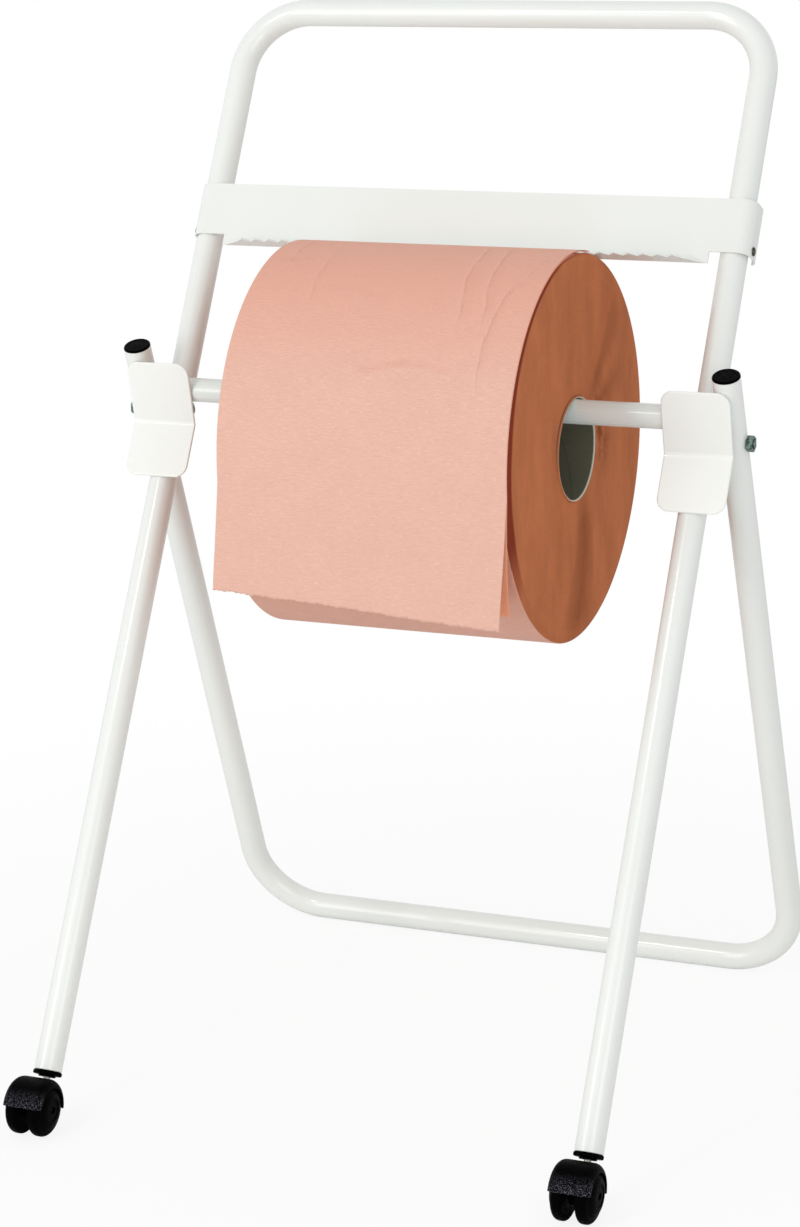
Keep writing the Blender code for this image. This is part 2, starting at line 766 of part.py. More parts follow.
def wheel_profile(side):
    """(x, radius) of one wheel with a rounded tread and a domed outer face, hollow for the axle."""
    near = WHEEL_GAP / 2
    far = near + WHEEL_WIDTH
    bore = AXLE_DIAMETER / 2 + FIT_GAP
    hub = HUB_DIAMETER / 2
    inset = AXLE_INSET / 2
    turns = [math.pi / 2 * step / ROUNDING_STEPS for step in range(ROUNDING_STEPS + 1)]
    points = [(near, bore)]
    for turn in turns:
        x = near + WHEEL_INNER_ROUNDING * (1 - math.cos(turn))
        points.append((x, WHEEL_RADIUS - WHEEL_INNER_ROUNDING * (1 - math.sin(turn))))
    points += quarter(TREAD_END, WHEEL_RADIUS - WHEEL_OUTER_ROUNDING, WHEEL_OUTER_ROUNDING)
    points += [(far, hub), (far, hub - inset), (far - inset, hub - 2 * inset), (far - inset, bore)]
    return [(side * x, radius) for x, radius in points]


def make_castors(plane, black, zinc):
    """Two twin-wheel castors, whose stems run along the legs and whose wheels trail to the front."""
    for side, name in ((-1, "left"), (1, "right")):
        swivel = axis_empty(
            "castor_swivel_" + name, (side * FRONT_HALF, 0, -LEG_LENGTH), parent=plane
        )
        make_socket("castor_socket_" + name, swivel, black)
        axle = axis_empty("castor_axle_axis_" + name, (0, -AXLE_LEAD, -AXLE_DROP), parent=swivel)
        hood_name = "castor_hood_" + name
        make_hood(hood_name, axle, black)
        stem_radius = STEM_DIAMETER / 2
        stem_bottom = -AXLE_DROP + BOSS_BOTTOM + AXLE_DIAMETER / 2
        stem_top = SLEEVE_LENGTH - STEM_SHORT_OF_SLEEVE
        stem_profile = [
            (stem_bottom, 0),
            (stem_bottom, stem_radius),
            (stem_top - stem_radius / 2, stem_radius),
            (stem_top, stem_radius / 2),
            (stem_top, 0),
        ]
        mesh_object(
            "castor_stem_" + name, turned(stem_profile, BOLT_SIDES, along_z), zinc, swivel
        )
        hole_radius = stem_radius + FIT_GAP
        hole_profile = [
            (stem_bottom - FIT_GAP, 0),
            (stem_bottom - FIT_GAP, hole_radius),
            (CUTTER_OVERRUN, hole_radius),
            (CUTTER_OVERRUN, 0),
        ]
        stem_hole = mesh_object(
            "stem_hole_" + name, turned(hole_profile, BOLT_SIDES, along_z), black, swivel
        )
        boolean(bpy.data.objects[hood_name], stem_hole, "DIFFERENCE")
        axle_half = WHEEL_GAP / 2 + WHEEL_WIDTH - AXLE_INSET
        axle_radius = AXLE_DIAMETER / 2
        axle_profile = [
            (-axle_half, 0),
            (-axle_half, axle_radius),
            (axle_half, axle_radius),
            (axle_half, 0),
        ]
        mesh_object("castor_axle_" + name, turned(axle_profile, BOLT_SIDES, along_x), zinc, axle)
        for inward, place in ((-side, "inner"), (side, "outer")):
            wheel = turned(wheel_profile(inward), WHEEL_SIDES, along_x, hollow=True)
            mesh_object("castor_wheel_" + name + "_" + place, wheel, black, axle)


def main():
    clear_scene()
    white = material("white lacquer", (0.83, 0.83, 0.80), 0.28)
    black = material("black plastic", (0.012, 0.012, 0.014), 0.35)
    zinc = material("zinc plate", (0.55, 0.60, 0.56), 0.35, 1.0)
    bright = material("bright tube", (0.72, 0.74, 0.74), 0.22, 1.0)
    card = material("grey card", (0.55, 0.55, 0.47), 0.8)
    paper = material("salmon paper", (0.80, 0.47, 0.37), 0.9)
    pivot = (0, PIVOT_Y, PIVOT_HEIGHT)
    front_plane = axis_empty("front_plane", pivot, (-FRONT_LEAN, 0, 0))
    rear_plane = axis_empty("rear_plane", pivot, (REAR_LEAN, 0, 0))
    make_front_frame(front_plane, white)
    make_rear_frame(rear_plane, white, black)
    make_pivot_bolts(front_plane, zinc)
    make_brackets(front_plane, white)
    make_tear_bar(front_plane, white, zinc)
    make_roll(bright, card, paper)
    make_castors(front_plane, black, zinc)


main()
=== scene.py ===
"""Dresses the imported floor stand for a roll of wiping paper, and sets it up as in the photograph.

The frame gives every place. In the plane of the front frame, "along" is the distance up the
legs from the pivot and "ahead" is the distance in front of the leg centrelines.
"""

import json
import math

import bmesh
import bpy
import numpy as np
from bpy.props import FloatProperty, FloatVectorProperty, IntProperty, PointerProperty
from mathutils import Matrix, Vector


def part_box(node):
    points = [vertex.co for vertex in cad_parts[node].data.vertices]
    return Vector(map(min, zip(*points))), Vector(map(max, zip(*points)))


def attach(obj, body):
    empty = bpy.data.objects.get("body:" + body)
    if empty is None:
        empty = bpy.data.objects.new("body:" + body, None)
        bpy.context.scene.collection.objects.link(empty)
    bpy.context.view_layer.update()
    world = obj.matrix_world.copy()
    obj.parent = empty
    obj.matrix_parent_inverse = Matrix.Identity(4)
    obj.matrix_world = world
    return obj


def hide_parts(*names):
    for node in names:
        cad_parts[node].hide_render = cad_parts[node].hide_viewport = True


bl_info = {
    "name": "Wiping paper floor stand",
    "version": (1, 0, 0),
    "blender": (4, 5, 0),
    "location": "3D View > Sidebar > Paper stand",
    "description": "Builds the finish pieces of a folding floor stand for a large paper roll",
    "category": "Object",
}

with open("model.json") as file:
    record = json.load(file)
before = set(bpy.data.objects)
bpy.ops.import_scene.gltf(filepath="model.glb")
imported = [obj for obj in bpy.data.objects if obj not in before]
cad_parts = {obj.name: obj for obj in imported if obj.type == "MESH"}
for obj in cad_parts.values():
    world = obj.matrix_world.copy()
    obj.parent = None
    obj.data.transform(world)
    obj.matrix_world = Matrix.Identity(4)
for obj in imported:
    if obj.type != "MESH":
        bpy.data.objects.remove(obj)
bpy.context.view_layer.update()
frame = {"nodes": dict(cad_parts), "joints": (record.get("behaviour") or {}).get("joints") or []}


def joint(name, key="pos_m"):
    """A joint's place, or its axis."""
    return np.array(next(row[key] for row in frame["joints"] if row["name"] == name))


def extent(node):
    """Middle and half size of a CAD node's box at rest."""
    low, high = np.array(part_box(node))
    return (low + high) / 2, (high - low) / 2


SIDES = {"left": -1, "right": 1}
PIVOT = joint("rear_fold")
SPINDLE_AXIS = joint("spindle_spin")
ROLL_AXIS = joint("roll_unwind")
COLLARS = {side: joint("castor_swivel_" + side) for side in SIDES}
AXLES = {side: joint("wheel_roll_" + side + "_outer") for side in SIDES}
SIDE, BACK, UP = np.eye(3)
MIDPLANE = BACK + UP  # times a place, the same place in the stand's middle plane
UP_LEG = joint("castor_swivel_right", "axis")
AHEAD = np.cross(SIDE, UP_LEG)
FULL_TURN = 2 * np.pi
QUARTER = np.pi / 2
MM = 0.001

FRONT_HIGH = np.array(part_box("front_frame")[1])
REAR_LOW, REAR_HIGH = np.array(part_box("rear_frame"))
ROLL_MIDDLE, ROLL_HALF = extent("paper_roll")
CORE_MIDDLE, CORE_HALF = extent("roll_core")
ROLL_RADIUS = float(ROLL_HALF[2])
CORE_RADIUS = float(CORE_HALF[2])
PAPER_FRONT = float(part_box("sheet_outer")[0][1])
WHEEL_RADIUS = float(AXLES["right"][2])
HALF_TRACK = float(COLLARS["right"][0])
TUBE = 2 * (float(FRONT_HIGH[0]) - HALF_TRACK)

MERGED_WITHIN = MM / 1000
LEAST = MM / 100  # half the thickness left at the end of a plate
SHARP_FROM = math.radians(42)
ROUNDED_FROM = math.radians(50)
# How finely curves are cut up.
FINE_STEPS = 2000
ARC_STEPS = 9
TUBE_SIDES = 56
BEND_RINGS = 40
CROSSBAR_RINGS = 12
CORNER_STEPS = 14
SMALL_SIDES = 40
ROUNDING_STEPS = 8
WHEEL_SIDES = 64
FINE_SIDES = 96


def length(name, default, description):
    """A length that a user can change, in metres."""
    return FloatProperty(
        name=name, default=default, description=description, unit="LENGTH", precision=4
    )


def turn(name, degrees, description):
    """An angle that a user can change."""
    return FloatProperty(
        name=name, default=math.radians(degrees), description=description, subtype="ANGLE"
    )


def colour(name, default, description):
    """A linear colour that a user can change."""
    return FloatVectorProperty(
        name=name, default=default, description=description, subtype="COLOR", min=0.0, max=1.0
    )


def power(name, default, description):
    """A lamp's power that a user can change, in watts."""
    return FloatProperty(name=name, default=default, description=description, unit="POWER")


class StandSizes(bpy.types.PropertyGroup):
    """Sizes of the metal pieces."""

    tube: length("Tube", TUBE, "Outside diameter of the frame tubes")
    tube_bore: length("Tube bore", 0.022, "Inside diameter of the frame tubes")
    bore_depth: length("Bore depth", 0.034, "How far the open tube ends are hollow")
    handle_bend: length("Handle bend", 0.060, "Centreline radius of the handle's bends")
    foot_bend: length("Foot bend", 0.068, "Centreline radius of the rear foot's bends")
    stub: length("Stub", 0.065, "Rear tube beyond the pivot")
    fit: length("Fit", 0.0003, "Clearance between pieces that touch")
    bracket_sheet: length("Bracket sheet", 0.0025, "Thickness of the bracket plates")
    bracket_upper: length("Bracket upper half", 0.060, "Bracket length above its fold")
    bracket_lower: length("Bracket lower half", 0.052, "Bracket length below its fold")
    bracket_corner: length("Bracket corner", 0.012, "Corner radius of the bracket plates")
    bracket_fold: length("Bracket fold", -0.018, "Place of the fold, up the leg from the pivot")
    bracket_lean: turn("Bracket lean", 40.293, "Angle of the bracket's upper half to the leg")
    bracket_fold_radius: length("Fold radius", 0.005, "Radius of the bracket's fold")
    bar_sheet: length("Bar sheet", 0.0015, "Thickness of the tear bar")
    bar_bottom: length("Bar bottom", 0.1695, "Lower edge of the tear bar's face, up the leg")
    bar_height: length("Bar height", 0.050, "Height of the tear bar's face")
    bar_play: length("Bar play", 0.0012, "Play of the tear bar beside each leg")
    wrap_bend: length("Wrap bend", 0.011, "Inner bend radius at the ends of the tear bar")
    wrap_side: length("Wrap side", 0.010, "Straight part of each wrap beside its leg")
    wrap_curl: turn("Wrap curl", 50.0, "How far each wrap curls in behind its leg")
    lip_clearance: length("Lip clearance", 0.0075, "From the lip's end to the tube")
    lip_depth: length("Lip depth", 0.011, "From the face's lower edge to the flange")
    flange: length("Flange", 0.0185, "Depth of the toothed flange")
    flange_chamfer: length("Flange chamfer", 0.0205, "Slant at each end of the flange")
    tooth_pitch: length("Tooth pitch", 0.0134, "Width of one tooth of the flange")
    tooth_depth: length("Tooth depth", 0.006, "Height of one tooth of the flange")
    plug_crown: length("Plug crown", 0.0022, "Height of the black plugs above the tube")
    edge: length("Edge", 0.0005, "Rounding of sheet metal and tube edges")


class PaperSizes(bpy.types.PropertyGroup):
    """Sizes of the roll, its core and the hanging paper."""

    tail_start: turn("Tail start", 105.0, "Where the hanging paper leaves the roll's surface")
    tail_sheet: length("Tail sheet", 0.00035, "Thickness of the hanging paper")
    tail_drop_left: length("Drop at left", 0.099, "Hanging edge below the roll's axis, left")
    tail_drop_right: length("Drop at right", 0.116, "Hanging edge below the roll's axis, right")
    sheet_gap: length("Sheet gap", 0.001, "Distance between the two hanging sheets")
    inner_shorter: length("Inner shorter", 0.009, "How much shorter the inner sheet hangs")
    outer_skew: length("Outer skew", 0.010, "Sideways lean of the outer sheet at its edge")
    inner_skew: length("Inner skew", 0.006, "Sideways lean of the inner sheet at its edge")
    outer_curl: length("Outer curl", -0.002, "How far the outer sheet hangs off the tangent")
    inner_curl: length("Inner curl", 0.013, "How far the inner sheet hangs off the tangent")
    outer_bed: length("Outer bed", 0.0009, "Upper end of the outer sheet above the roll")
    inner_bed: length("Inner bed", 0.0004, "Upper end of the inner sheet above the roll")
    drift: length("Drift", 0.003, "How far the sheets stand out over the roll's right end")
    wave: length("Wave", 0.0014, "Height of the waves in the hanging part")
    crease: length("Crease", 0.0008, "Height of the long creases")
    tear: length("Tear", 0.0011, "Roughness of the torn edge")
    card: length("Card", 0.0022, "Wall of the card core")
    shoulder: length("Shoulder", 0.0022, "Rounding of the roll's edges")
    unevenness: length("Unevenness", 0.0006, "Unevenness of the wound surface")


class CastorSizes(bpy.types.PropertyGroup):
    """Sizes of the castors."""

    wheel_gap: length("Wheel gap", 0.0112, "Distance between the two wheels")
    wheel_width: length("Wheel width", 0.0148, "Width of one wheel")
    dome: length("Dome", 0.0038, "Rise of a wheel's outer face")
    inner_rounding: length("Inner rounding", 0.0035, "Tread rounding towards the web")
    outer_rounding: length("Outer rounding", 0.005, "Tread rounding towards the outside")
    hub: length("Hub", 0.020, "Diameter of the flat disc on a wheel's outer face")
    hood_clearance: length("Hood clearance", 0.0008, "Gap between the wheels and the hood")
    hood_wall: length("Hood wall", 0.0016, "Wall of the hood")
    hood_front: turn("Hood front", 24.0, "Front edge of the hood, from level")
    hood_back: turn("Hood back", 200.0, "Back edge of the hood, from level at the front")
    web: length("Web", 0.0096, "Thickness of the web between the wheels")
    web_hub: length("Web hub", 0.020, "Diameter of the web round the axle")
    web_inset: turn("Web inset", 3.0, "From each edge of the hood to the web")
    boss: length("Boss", 0.017, "Diameter of the boss that holds the stem")
    neck: length("Neck", 0.0155, "Diameter of the neck above the hood")
    neck_height: length("Neck height", 0.0016, "Height of the neck")
    neck_gap: length("Neck gap", 0.0022, "Bare stem between the neck and the boss")
    collar: length("Collar", 0.0260, "Diameter of the collar under the tube")
    collar_height: length("Collar height", 0.0038, "Height of the collar")
    collar_short: length("Collar short", 0.004, "From the collar's shank to the bore's bottom")
    notches: IntProperty(name="Notches", default=8, description="Notches round the collar")


class Finishes(bpy.types.PropertyGroup):
    """Colours of the finishes."""

    lacquer: colour("Lacquer", (0.845, 0.872, 0.838), "Warm white lacquer of the metal")
    # Painted light: the brackets get a lighter copy of the same lacquer, as if lit more brightly.
    lit_bracket_lacquer: colour("Bracket lacquer", (0.9126, 0.94176, 0.90504), "Brackets' lacquer")
    # Painted highlight: a bright line along the brackets' folds, where the bend catches the light.
    rubbed: colour("Fold highlight", (0.97, 1.0, 0.965), "Line along the brackets' folds")
    plastic: colour("Plastic", (0.0010, 0.0010, 0.0012), "Black moulded plastic")
    # Painted glints: bright specks where the hoods' fronts catch the light.
    hood_glint: colour("Hood glint", (0.20, 0.20, 0.245), "Bright grains on the hoods")
    zinc: colour("Zinc", (0.085, 0.125, 0.115), "Zinc plating of the nuts and bolts")
    stem: colour("Stem", (0.16, 0.165, 0.16), "Bright steel of the castor stems")
    screw: colour("Screw", (0.045, 0.045, 0.04), "Dark screws of the tear bar")
    bright: colour("Bright tube", (0.80, 0.865, 0.83), "Bright spindle tube")
    # Painted shade: the card inside the core gets a dark colour for the shade in its bore.
    card: colour("Card", (0.125, 0.120, 0.082), "Grey card inside the core")
    card_rim: colour("Card rim", (0.62, 0.62, 0.53), "Cut rim of the core")
    paper: colour("Paper", (0.86, 0.515, 0.41), "Salmon tissue")
    # Painted light: the inner sheet gets a brighter, deeper orange copy of the tissue's colour.
    lit_inner_paper: colour("Inner paper", (1.0, 0.44, 0.26), "Salmon tissue under the outer sheet")
    # The cut ends' own deeper colour, darkened further as painted shade.
    cut_paper: colour("Cut paper", (0.50, 0.163, 0.067), "Cut ends of the wound tissue")
    # Painted shadow: the dark red gap under the edge of the hanging sheets.
    paper_shadow: colour("Gap shadow", (0.22, 0.031, 0.013), "Dark red gap under the sheets")
    # Painted shade: the wound tissue is a darker, deeper copy of the tissue's colour.
    wound_paper: colour("Wound paper", (0.757, 0.402, 0.305), "Salmon tissue below the sheets")
    floor: colour("Floor", (0.93, 0.93, 0.93), "Pale floor")


class StageSettings(bpy.types.PropertyGroup):
    """Camera and lights."""

    camera_offset: FloatVectorProperty(
        name="Camera offset",
        default=(1.12593, -2.60588, 0.70008),
        description="From the pivot to where the photograph was taken from",
        subtype="TRANSLATION",
        precision=4,
    )
    camera_azimuth: turn("Azimuth", 24.16, "Camera direction, left of straight back")
    camera_dip: turn("Dip", 18.35, "How far the camera looks down")
    camera_roll: turn("Roll", 2.66, "Turn of the camera about its own axis")
    lens: FloatProperty(
        name="Lens", default=94.70, description="Focal length", unit="CAMERA", precision=3
    )
    shift_up: FloatProperty(
        name="Shift", default=0.0542, description="Vertical shift, a share of the picture's height"
    )
    key_power: power("Key", 35.0, "Front left light")
    fill_power: power("Fill", 23.0, "Front right light")
    glint_power: power("Glint", 9.0, "Small light that draws the highlights")
    sky: FloatProperty(name="Sky", default=0.68, description="Even light from all round")


def shade(base, *factors):
    """A colour times one factor, or one for each channel, and no brighter than white."""
    return tuple(np.minimum(np.multiply(base, factors), 1.0).tolist())


class Nodes:
    """Short ways of adding shader nodes to a tree."""

    def __init__(self, tree):
        self.tree = tree

    def join(self, socket, value):
        """Links another node's output to a socket, or sets it to a number, place or colour."""
        if isinstance(value, bpy.types.NodeSocket):
            self.tree.links.new(value, socket)
        else:
            socket.default_value = (*value, 1.0) if socket.type == "RGBA" else value

    def plug(self, node, **values):
        """Joins a node's sockets by name."""
        for name, value in values.items():
            self.join(node.inputs[name.replace("_", " ")], value)
        return node

    def node(self, kind, **values):
        """A new node, with its sockets joined by name."""
        return self.plug(self.tree.nodes.new("ShaderNode" + kind), **values)

    def calc(self, operation, first, second=0.0):
        """What a Math node makes of one or two values."""
        made = self.node("Math")
        made.operation = operation
        for socket, value in zip(made.inputs, (first, second)):
            self.join(socket, value)
        return made.outputs["Value"]

    def times(self, value, *others):
        """The product of values."""
        for other in others:
            value = self.calc("MULTIPLY", value, other)
        return value

    def remap(self, value, low, high, first=0.0, last=1.0):
        """The range from low to high carried to the one from first to last, and held there."""
        made = self.node(
            "MapRange", Value=value, From_Min=low, From_Max=high, To_Min=first, To_Max=last
        )
        return made.outputs["Result"]

    def between(self, value, low, high, blur):
        """One inside a band and zero outside it, with blurred edges."""
        rise = self.remap(value, low - blur, low + blur)
        return self.times(rise, self.remap(value, high - blur, high + blur, 1.0, 0.0))

    def place(self, source="Object", stretch=(1, 1, 1), origin=(0, 0, 0)):
        """Object or UV coordinates, moved so that origin is zero and stretched."""
        moved = [-start * factor for start, factor in zip(origin, stretch)]
        given = self.node("TexCoord").outputs[source]
        return self.node("Mapping", Vector=given, Location=moved, Scale=stretch).outputs["Vector"]

    def split(self, origin):
        """The sideways place, depth and height from an origin."""
        return self.node("SeparateXYZ", Vector=self.place(origin=origin)).outputs

    def round_the_roll(self):
        """The sideways place, the angle and the distance from the roll's axis."""
        sideways, deep, high = self.split(ROLL_AXIS * MIDPLANE)
        squares = self.calc("ADD", self.times(deep, deep), self.times(high, high))
        return sideways, self.calc("ARCTAN2", high, deep), self.calc("SQRT", squares)

    def wedge(self, angle, reach, direction, bend, width, strength, near, far, blur):
        """A soft wedge along a bent way out from the roll's axis, strongest in its middle."""
        route = self.calc("ADD", self.times(self.remap(reach, *BEND_ALONG), bend), direction)
        away = self.calc("ABSOLUTE", self.calc("SUBTRACT", angle, route))
        inside = self.remap(away, 0.0, width, strength, 0.0)
        return self.times(inside, self.between(reach, near, far, blur))

    def noise(self, vector, scale=1.0, detail=3.0, roughness=0.5):
        """Cloudy noise from 0 to 1, about 0.5: scale is in clouds a metre of the vector."""
        made = self.node("TexNoise", Vector=vector, Scale=scale, Detail=detail, Roughness=roughness)
        return made.outputs["Fac"]

    def blend(self, amount, first, second):
        """The first colour where the amount is zero, and the second where it is one."""
        made = self.node("Mix")
        made.data_type = "RGBA"
        colours = [socket for socket in made.inputs if socket.type == "RGBA"]
        for socket, value in zip((made.inputs["Factor"], *colours), (amount, first, second)):
            self.join(socket, value)
        return next(socket for socket in made.outputs if socket.type == "RGBA")


class Recipe(Nodes):
    """A material in the making, with the colour that it has so far."""

    def __init__(self, name, base, roughness, **settings):
        self.made = bpy.data.materials.new(name)
        self.made.use_nodes = True
        super().__init__(self.made.node_tree)
        self.shader = self.tree.nodes["Principled BSDF"]
        self.base = self.colour = base
        self.plug(self.shader, Base_Color=base, Roughness=roughness, **settings)

    def mottle(self, amount, low, high):
        """Lets the base colour go from low times itself to high times itself."""
        self.colour = self.blend(amount, shade(self.base, low), shade(self.base, high))

    def tint(self, amount, *factors, to=None):
        """Blends the colour so far towards another, or towards the base colour times factors."""
        if to is None:
            to = shade(self.base, *factors)
        self.colour = self.blend(amount, self.colour, to)

    def finish(self, *bumps, rough=None):
        """Links the colour, the roughness and a chain of (height, distance, strength) bumps."""
        self.plug(self.shader, Base_Color=self.colour)
        if rough is not None:
            self.plug(self.shader, Roughness=rough)
        under = {}
        for height, distance, strength in bumps:
            made = self.node("Bump", Height=height, Distance=distance, Strength=strength, **under)
            under = {"Normal": made.outputs["Normal"]}
        self.plug(self.shader, **under)
        return self.made


# Half width and blur of the painted highlight along the brackets' fold.
HIGHLIGHT_HALF = 1.4 * MM
HIGHLIGHT_BLUR = 0.3 * MM


def lacquer_finish(name, base, rubbed=None):
    """Glossy warm white lacquer with a faint orange peel and slight unevenness of colour, and
    on the brackets a painted highlight along their fold across the legs."""
    made = Recipe(name, base, 0.30, Coat_Weight=0.5, Coat_Roughness=0.07)
    place = made.place()
    made.mottle(made.remap(made.noise(place, 6.0, 1.0), 0.3, 0.7), 0.985, 1.005)
    # Painted highlight: a bright band across the brackets' fold.
    if rubbed:
        _, deep, high = made.split(PIVOT)
        along = made.calc("ADD", made.times(deep, UP_LEG[1]), made.times(high, UP_LEG[2]))
        fold = bpy.context.scene.stand_sizes.bracket_fold
        line = made.between(along, fold - HIGHLIGHT_HALF, fold + HIGHLIGHT_HALF, HIGHLIGHT_BLUR)
        made.tint(line, to=rubbed)
    wear = made.noise(place, 25.0, 1.0)
    peel = made.noise(place, 300.0, 1.0)
    return made.finish((peel, 0.1 * MM, 0.04), rough=made.remap(wear, 0.3, 0.7, 0.28, 0.34))


# Where the hoods' painted glints begin and are full: height and depth from the axle.
GLINTS_BELOW = (24 * MM, 13 * MM)
GLINTS_AHEAD = (-6 * MM, -14 * MM)


def plastic_finish(name, base, glints=None):
    """Black moulded plastic with a fine grain, and painted glints low on the fronts of hoods."""
    made = Recipe(name, base, 0.34, Specular_IOR_Level=0.01)
    place = made.place()
    grain = made.noise(place, 800.0, 4.0, 0.7)
    made.mottle(grain, 0.6, 1.7)
    # Painted glints: bright specks low on the hoods' fronts.
    if glints:
        _, deep, high = made.split(AXLES["left"] * MIDPLANE)
        low = made.remap(high, *GLINTS_BELOW, 0.0, 0.9)
        front = made.remap(deep, *GLINTS_AHEAD)
        sparks = made.remap(made.noise(place, 1250.0, 2.0), 0.52, 0.68)
        made.tint(made.times(low, front, sparks), to=glints)
    wear = made.noise(place, 450.0)
    return made.finish((grain, 0.8 * MM, 0.7), rough=made.remap(wear, 0.35, 0.65, 0.22, 0.46))


def zinc_finish(name, base):
    """Zinc plating with cloudy greenish and yellowish passivation."""
    made = Recipe(name, base, 0.32, Metallic=1.0)
    place = made.place()
    clouds = made.remap(made.noise(place, 300.0), 0.42, 0.58)
    made.colour = shade(base, 0.8)
    made.tint(clouds, 2.4, 2.3, 2.1)
    wear = made.noise(place, 500.0)
    pits = made.noise(place, 1200.0)
    return made.finish((pits, 0.2 * MM, 0.2), rough=made.remap(wear, 0.3, 0.7, 0.24, 0.45))


def bright_finish(name, base):
    """Drawn steel tube with fine streaks along its length."""
    made = Recipe(name, base, 0.25, Coat_Weight=0.4, Coat_Roughness=0.10)
    streaks = made.noise(made.place(stretch=(3, 400, 400)), detail=2.0)
    made.mottle(streaks, 0.95, 1.03)
    return made.finish((streaks, 0.1 * MM, 0.1), rough=made.remap(streaks, 0.3, 0.7, 0.20, 0.30))


CARD_LEAD = 0.11  # how far the card's spiral seam runs sideways in a turn
# Where the card's cut rim and its dust begin and are full: from the core's ends and its outside.
CUT_FROM, CUT_TO = 1.6 * MM, 0.9 * MM
DUST_FROM, DUST_TO = 1.3 * MM, 1.0 * MM


def card_finish(name, base, rim, dust):
    """Grey card wound in a spiral with a faint seam, darkened as painted shade of the bore, paler
    where its ends are cut, with the paper's dust over the outer half of the cut."""
    made = Recipe(name, base, 0.9, Specular_IOR_Level=0.2)
    sideways, angle, reach = made.round_the_roll()
    lead = made.calc("DIVIDE", sideways, CARD_LEAD)
    winding = made.calc("ADD", lead, made.calc("DIVIDE", angle, FULL_TURN))
    seam = made.calc("LESS_THAN", made.calc("FRACT", winding), 0.02)
    fibres = made.noise(made.place(stretch=(60, 260, 260)), 4.0, 5.0)
    made.mottle(fibres, 0.85, 1.12)
    made.tint(made.times(seam, 0.3), 0.6)
    from_middle = made.calc("ABSOLUTE", made.calc("SUBTRACT", sideways, CORE_MIDDLE[0]))
    cut = made.remap(from_middle, CORE_HALF[0] - CUT_FROM, CORE_HALF[0] - CUT_TO)
    dusty = made.remap(reach, CORE_RADIUS - DUST_FROM, CORE_RADIUS - DUST_TO)
    made.tint(cut, to=made.blend(dusty, rim, dust))
    return made.finish((fibres, 0.4 * MM, 0.3), (seam, 0.2 * MM, 0.1))


# Factors on the base colour's red, green and blue.
# Paler fibres, and the painted highlight beside the creases.
PALER = (1.06, 1.22, 1.27)
# Painted shade: the tissue deeper in colour over the crown of the roll.
CROWN_SHADE = (0.99, 0.86, 0.81)
# Painted shade in the creases of the hanging sheets.
CREASE_SHADE = (0.80, 0.62, 0.56)
# Painted shade of folds and crumples on the roll's cut ends.
FOLD_SHADE = (0.42, 0.32, 0.24)
CROWN_SHADE_HEIGHTS = (0.085, 0.165)  # heights above the roll's axis between which CROWN_SHADE comes in


def tissue(name, base, source):
    """Soft salmon tissue with fine creping across the web, embossed cloudiness, mottling and a
    few paler and darker fibres. Gives the recipe so far and its bumps."""
    made = Recipe(name, base, 0.92, Specular_IOR_Level=0.2, Sheen_Weight=0.10, Sheen_Roughness=0.5)
    mottling = made.noise(made.place(source), 26.0, 6.0, 0.65)
    creping = made.noise(made.place(source, (130, 900, 900)), 1.0, 4.0, 0.65)
    clouds = made.noise(made.place(source, (90, 160, 90)), 1.0, 4.0, 0.55)
    fibres = made.noise(made.place(source, (260, 520, 260)), detail=2.0)
    made.mottle(made.remap(mottling, 0.35, 0.65), 0.965, 1.02)
    made.tint(made.remap(creping, 0.36, 0.68), 0.90)
    made.tint(made.remap(fibres, 0.62, 0.72, 0.0, 0.6), *PALER)
    made.tint(made.remap(fibres, 0.36, 0.28, 0.0, 0.5), 0.86)
    return made, ((clouds, 1.4 * MM, 0.45), (creping, 1.2 * MM, 0.7))


def barrel_finish(name, base):
    """The tissue wound on the roll, in a darker copy of its colour as painted shade."""
    made, bumps = tissue(name, base, "Object")
    return made.finish(*bumps)


def sheet_finish(name, base):
    """The hanging tissue, with painted shade deepening its colour over the crown of the roll.
    Its crease marks are painted shade above zero and painted highlight below."""
    made, bumps = tissue(name, base, "UV")
    # Painted shade over the crown of the roll.
    height = made.split(ROLL_AXIS)["Z"]
    made.tint(made.remap(height, *CROWN_SHADE_HEIGHTS), *CROWN_SHADE)
    # Painted shade and painted highlight of the creases, from the crease attribute.
    marks = made.node("Attribute")
    marks.attribute_name = "crease"
    folded = marks.outputs["Fac"]
    broken = made.remap(made.noise(made.place("UV"), 75.0), 0.32, 0.6, 0.1, 0.65)
    made.tint(made.times(made.remap(folded, 0.0, 1.0), broken), *CREASE_SHADE)
    made.tint(made.remap(folded, 0.0, -1.0, 0.0, 0.25), *PALER)
    return made.finish(*bumps)


# Painted shade along folds on the cut ends, and one painted highlight beside a fold: the base
# colour's factors there, direction from the roll's axis, bend, width, strength, nearest and
# furthest distance from the axis, and how far these ends blur.
STREAKS = (
    (FOLD_SHADE, -1.32, 1.0, 0.26, 0.62, 0.058, 0.168, 0.015),
    (FOLD_SHADE, -1.50, 0.6, 0.16, 0.30, 0.060, 0.115, 0.015),
    (FOLD_SHADE, 0.74, -0.3, 0.24, 0.60, 0.060, 0.158, 0.015),
    (FOLD_SHADE, 0.42, 0.3, 0.20, 0.35, 0.050, 0.125, 0.015),
    ((1.22,), 0.86, 0.0, 0.16, 0.50, 0.070, 0.165, 0.020),
)
# The crumpled patch, in the columns above without factors; painted shade goes into its crumples.
CRUMPLED = (0.10, 0.0, 0.75, 1.00, 0.046, 0.085, 0.012)
BEND_ALONG = (0.06, 0.16, 0.0, -0.30)  # how a mark turns from its near to its far end
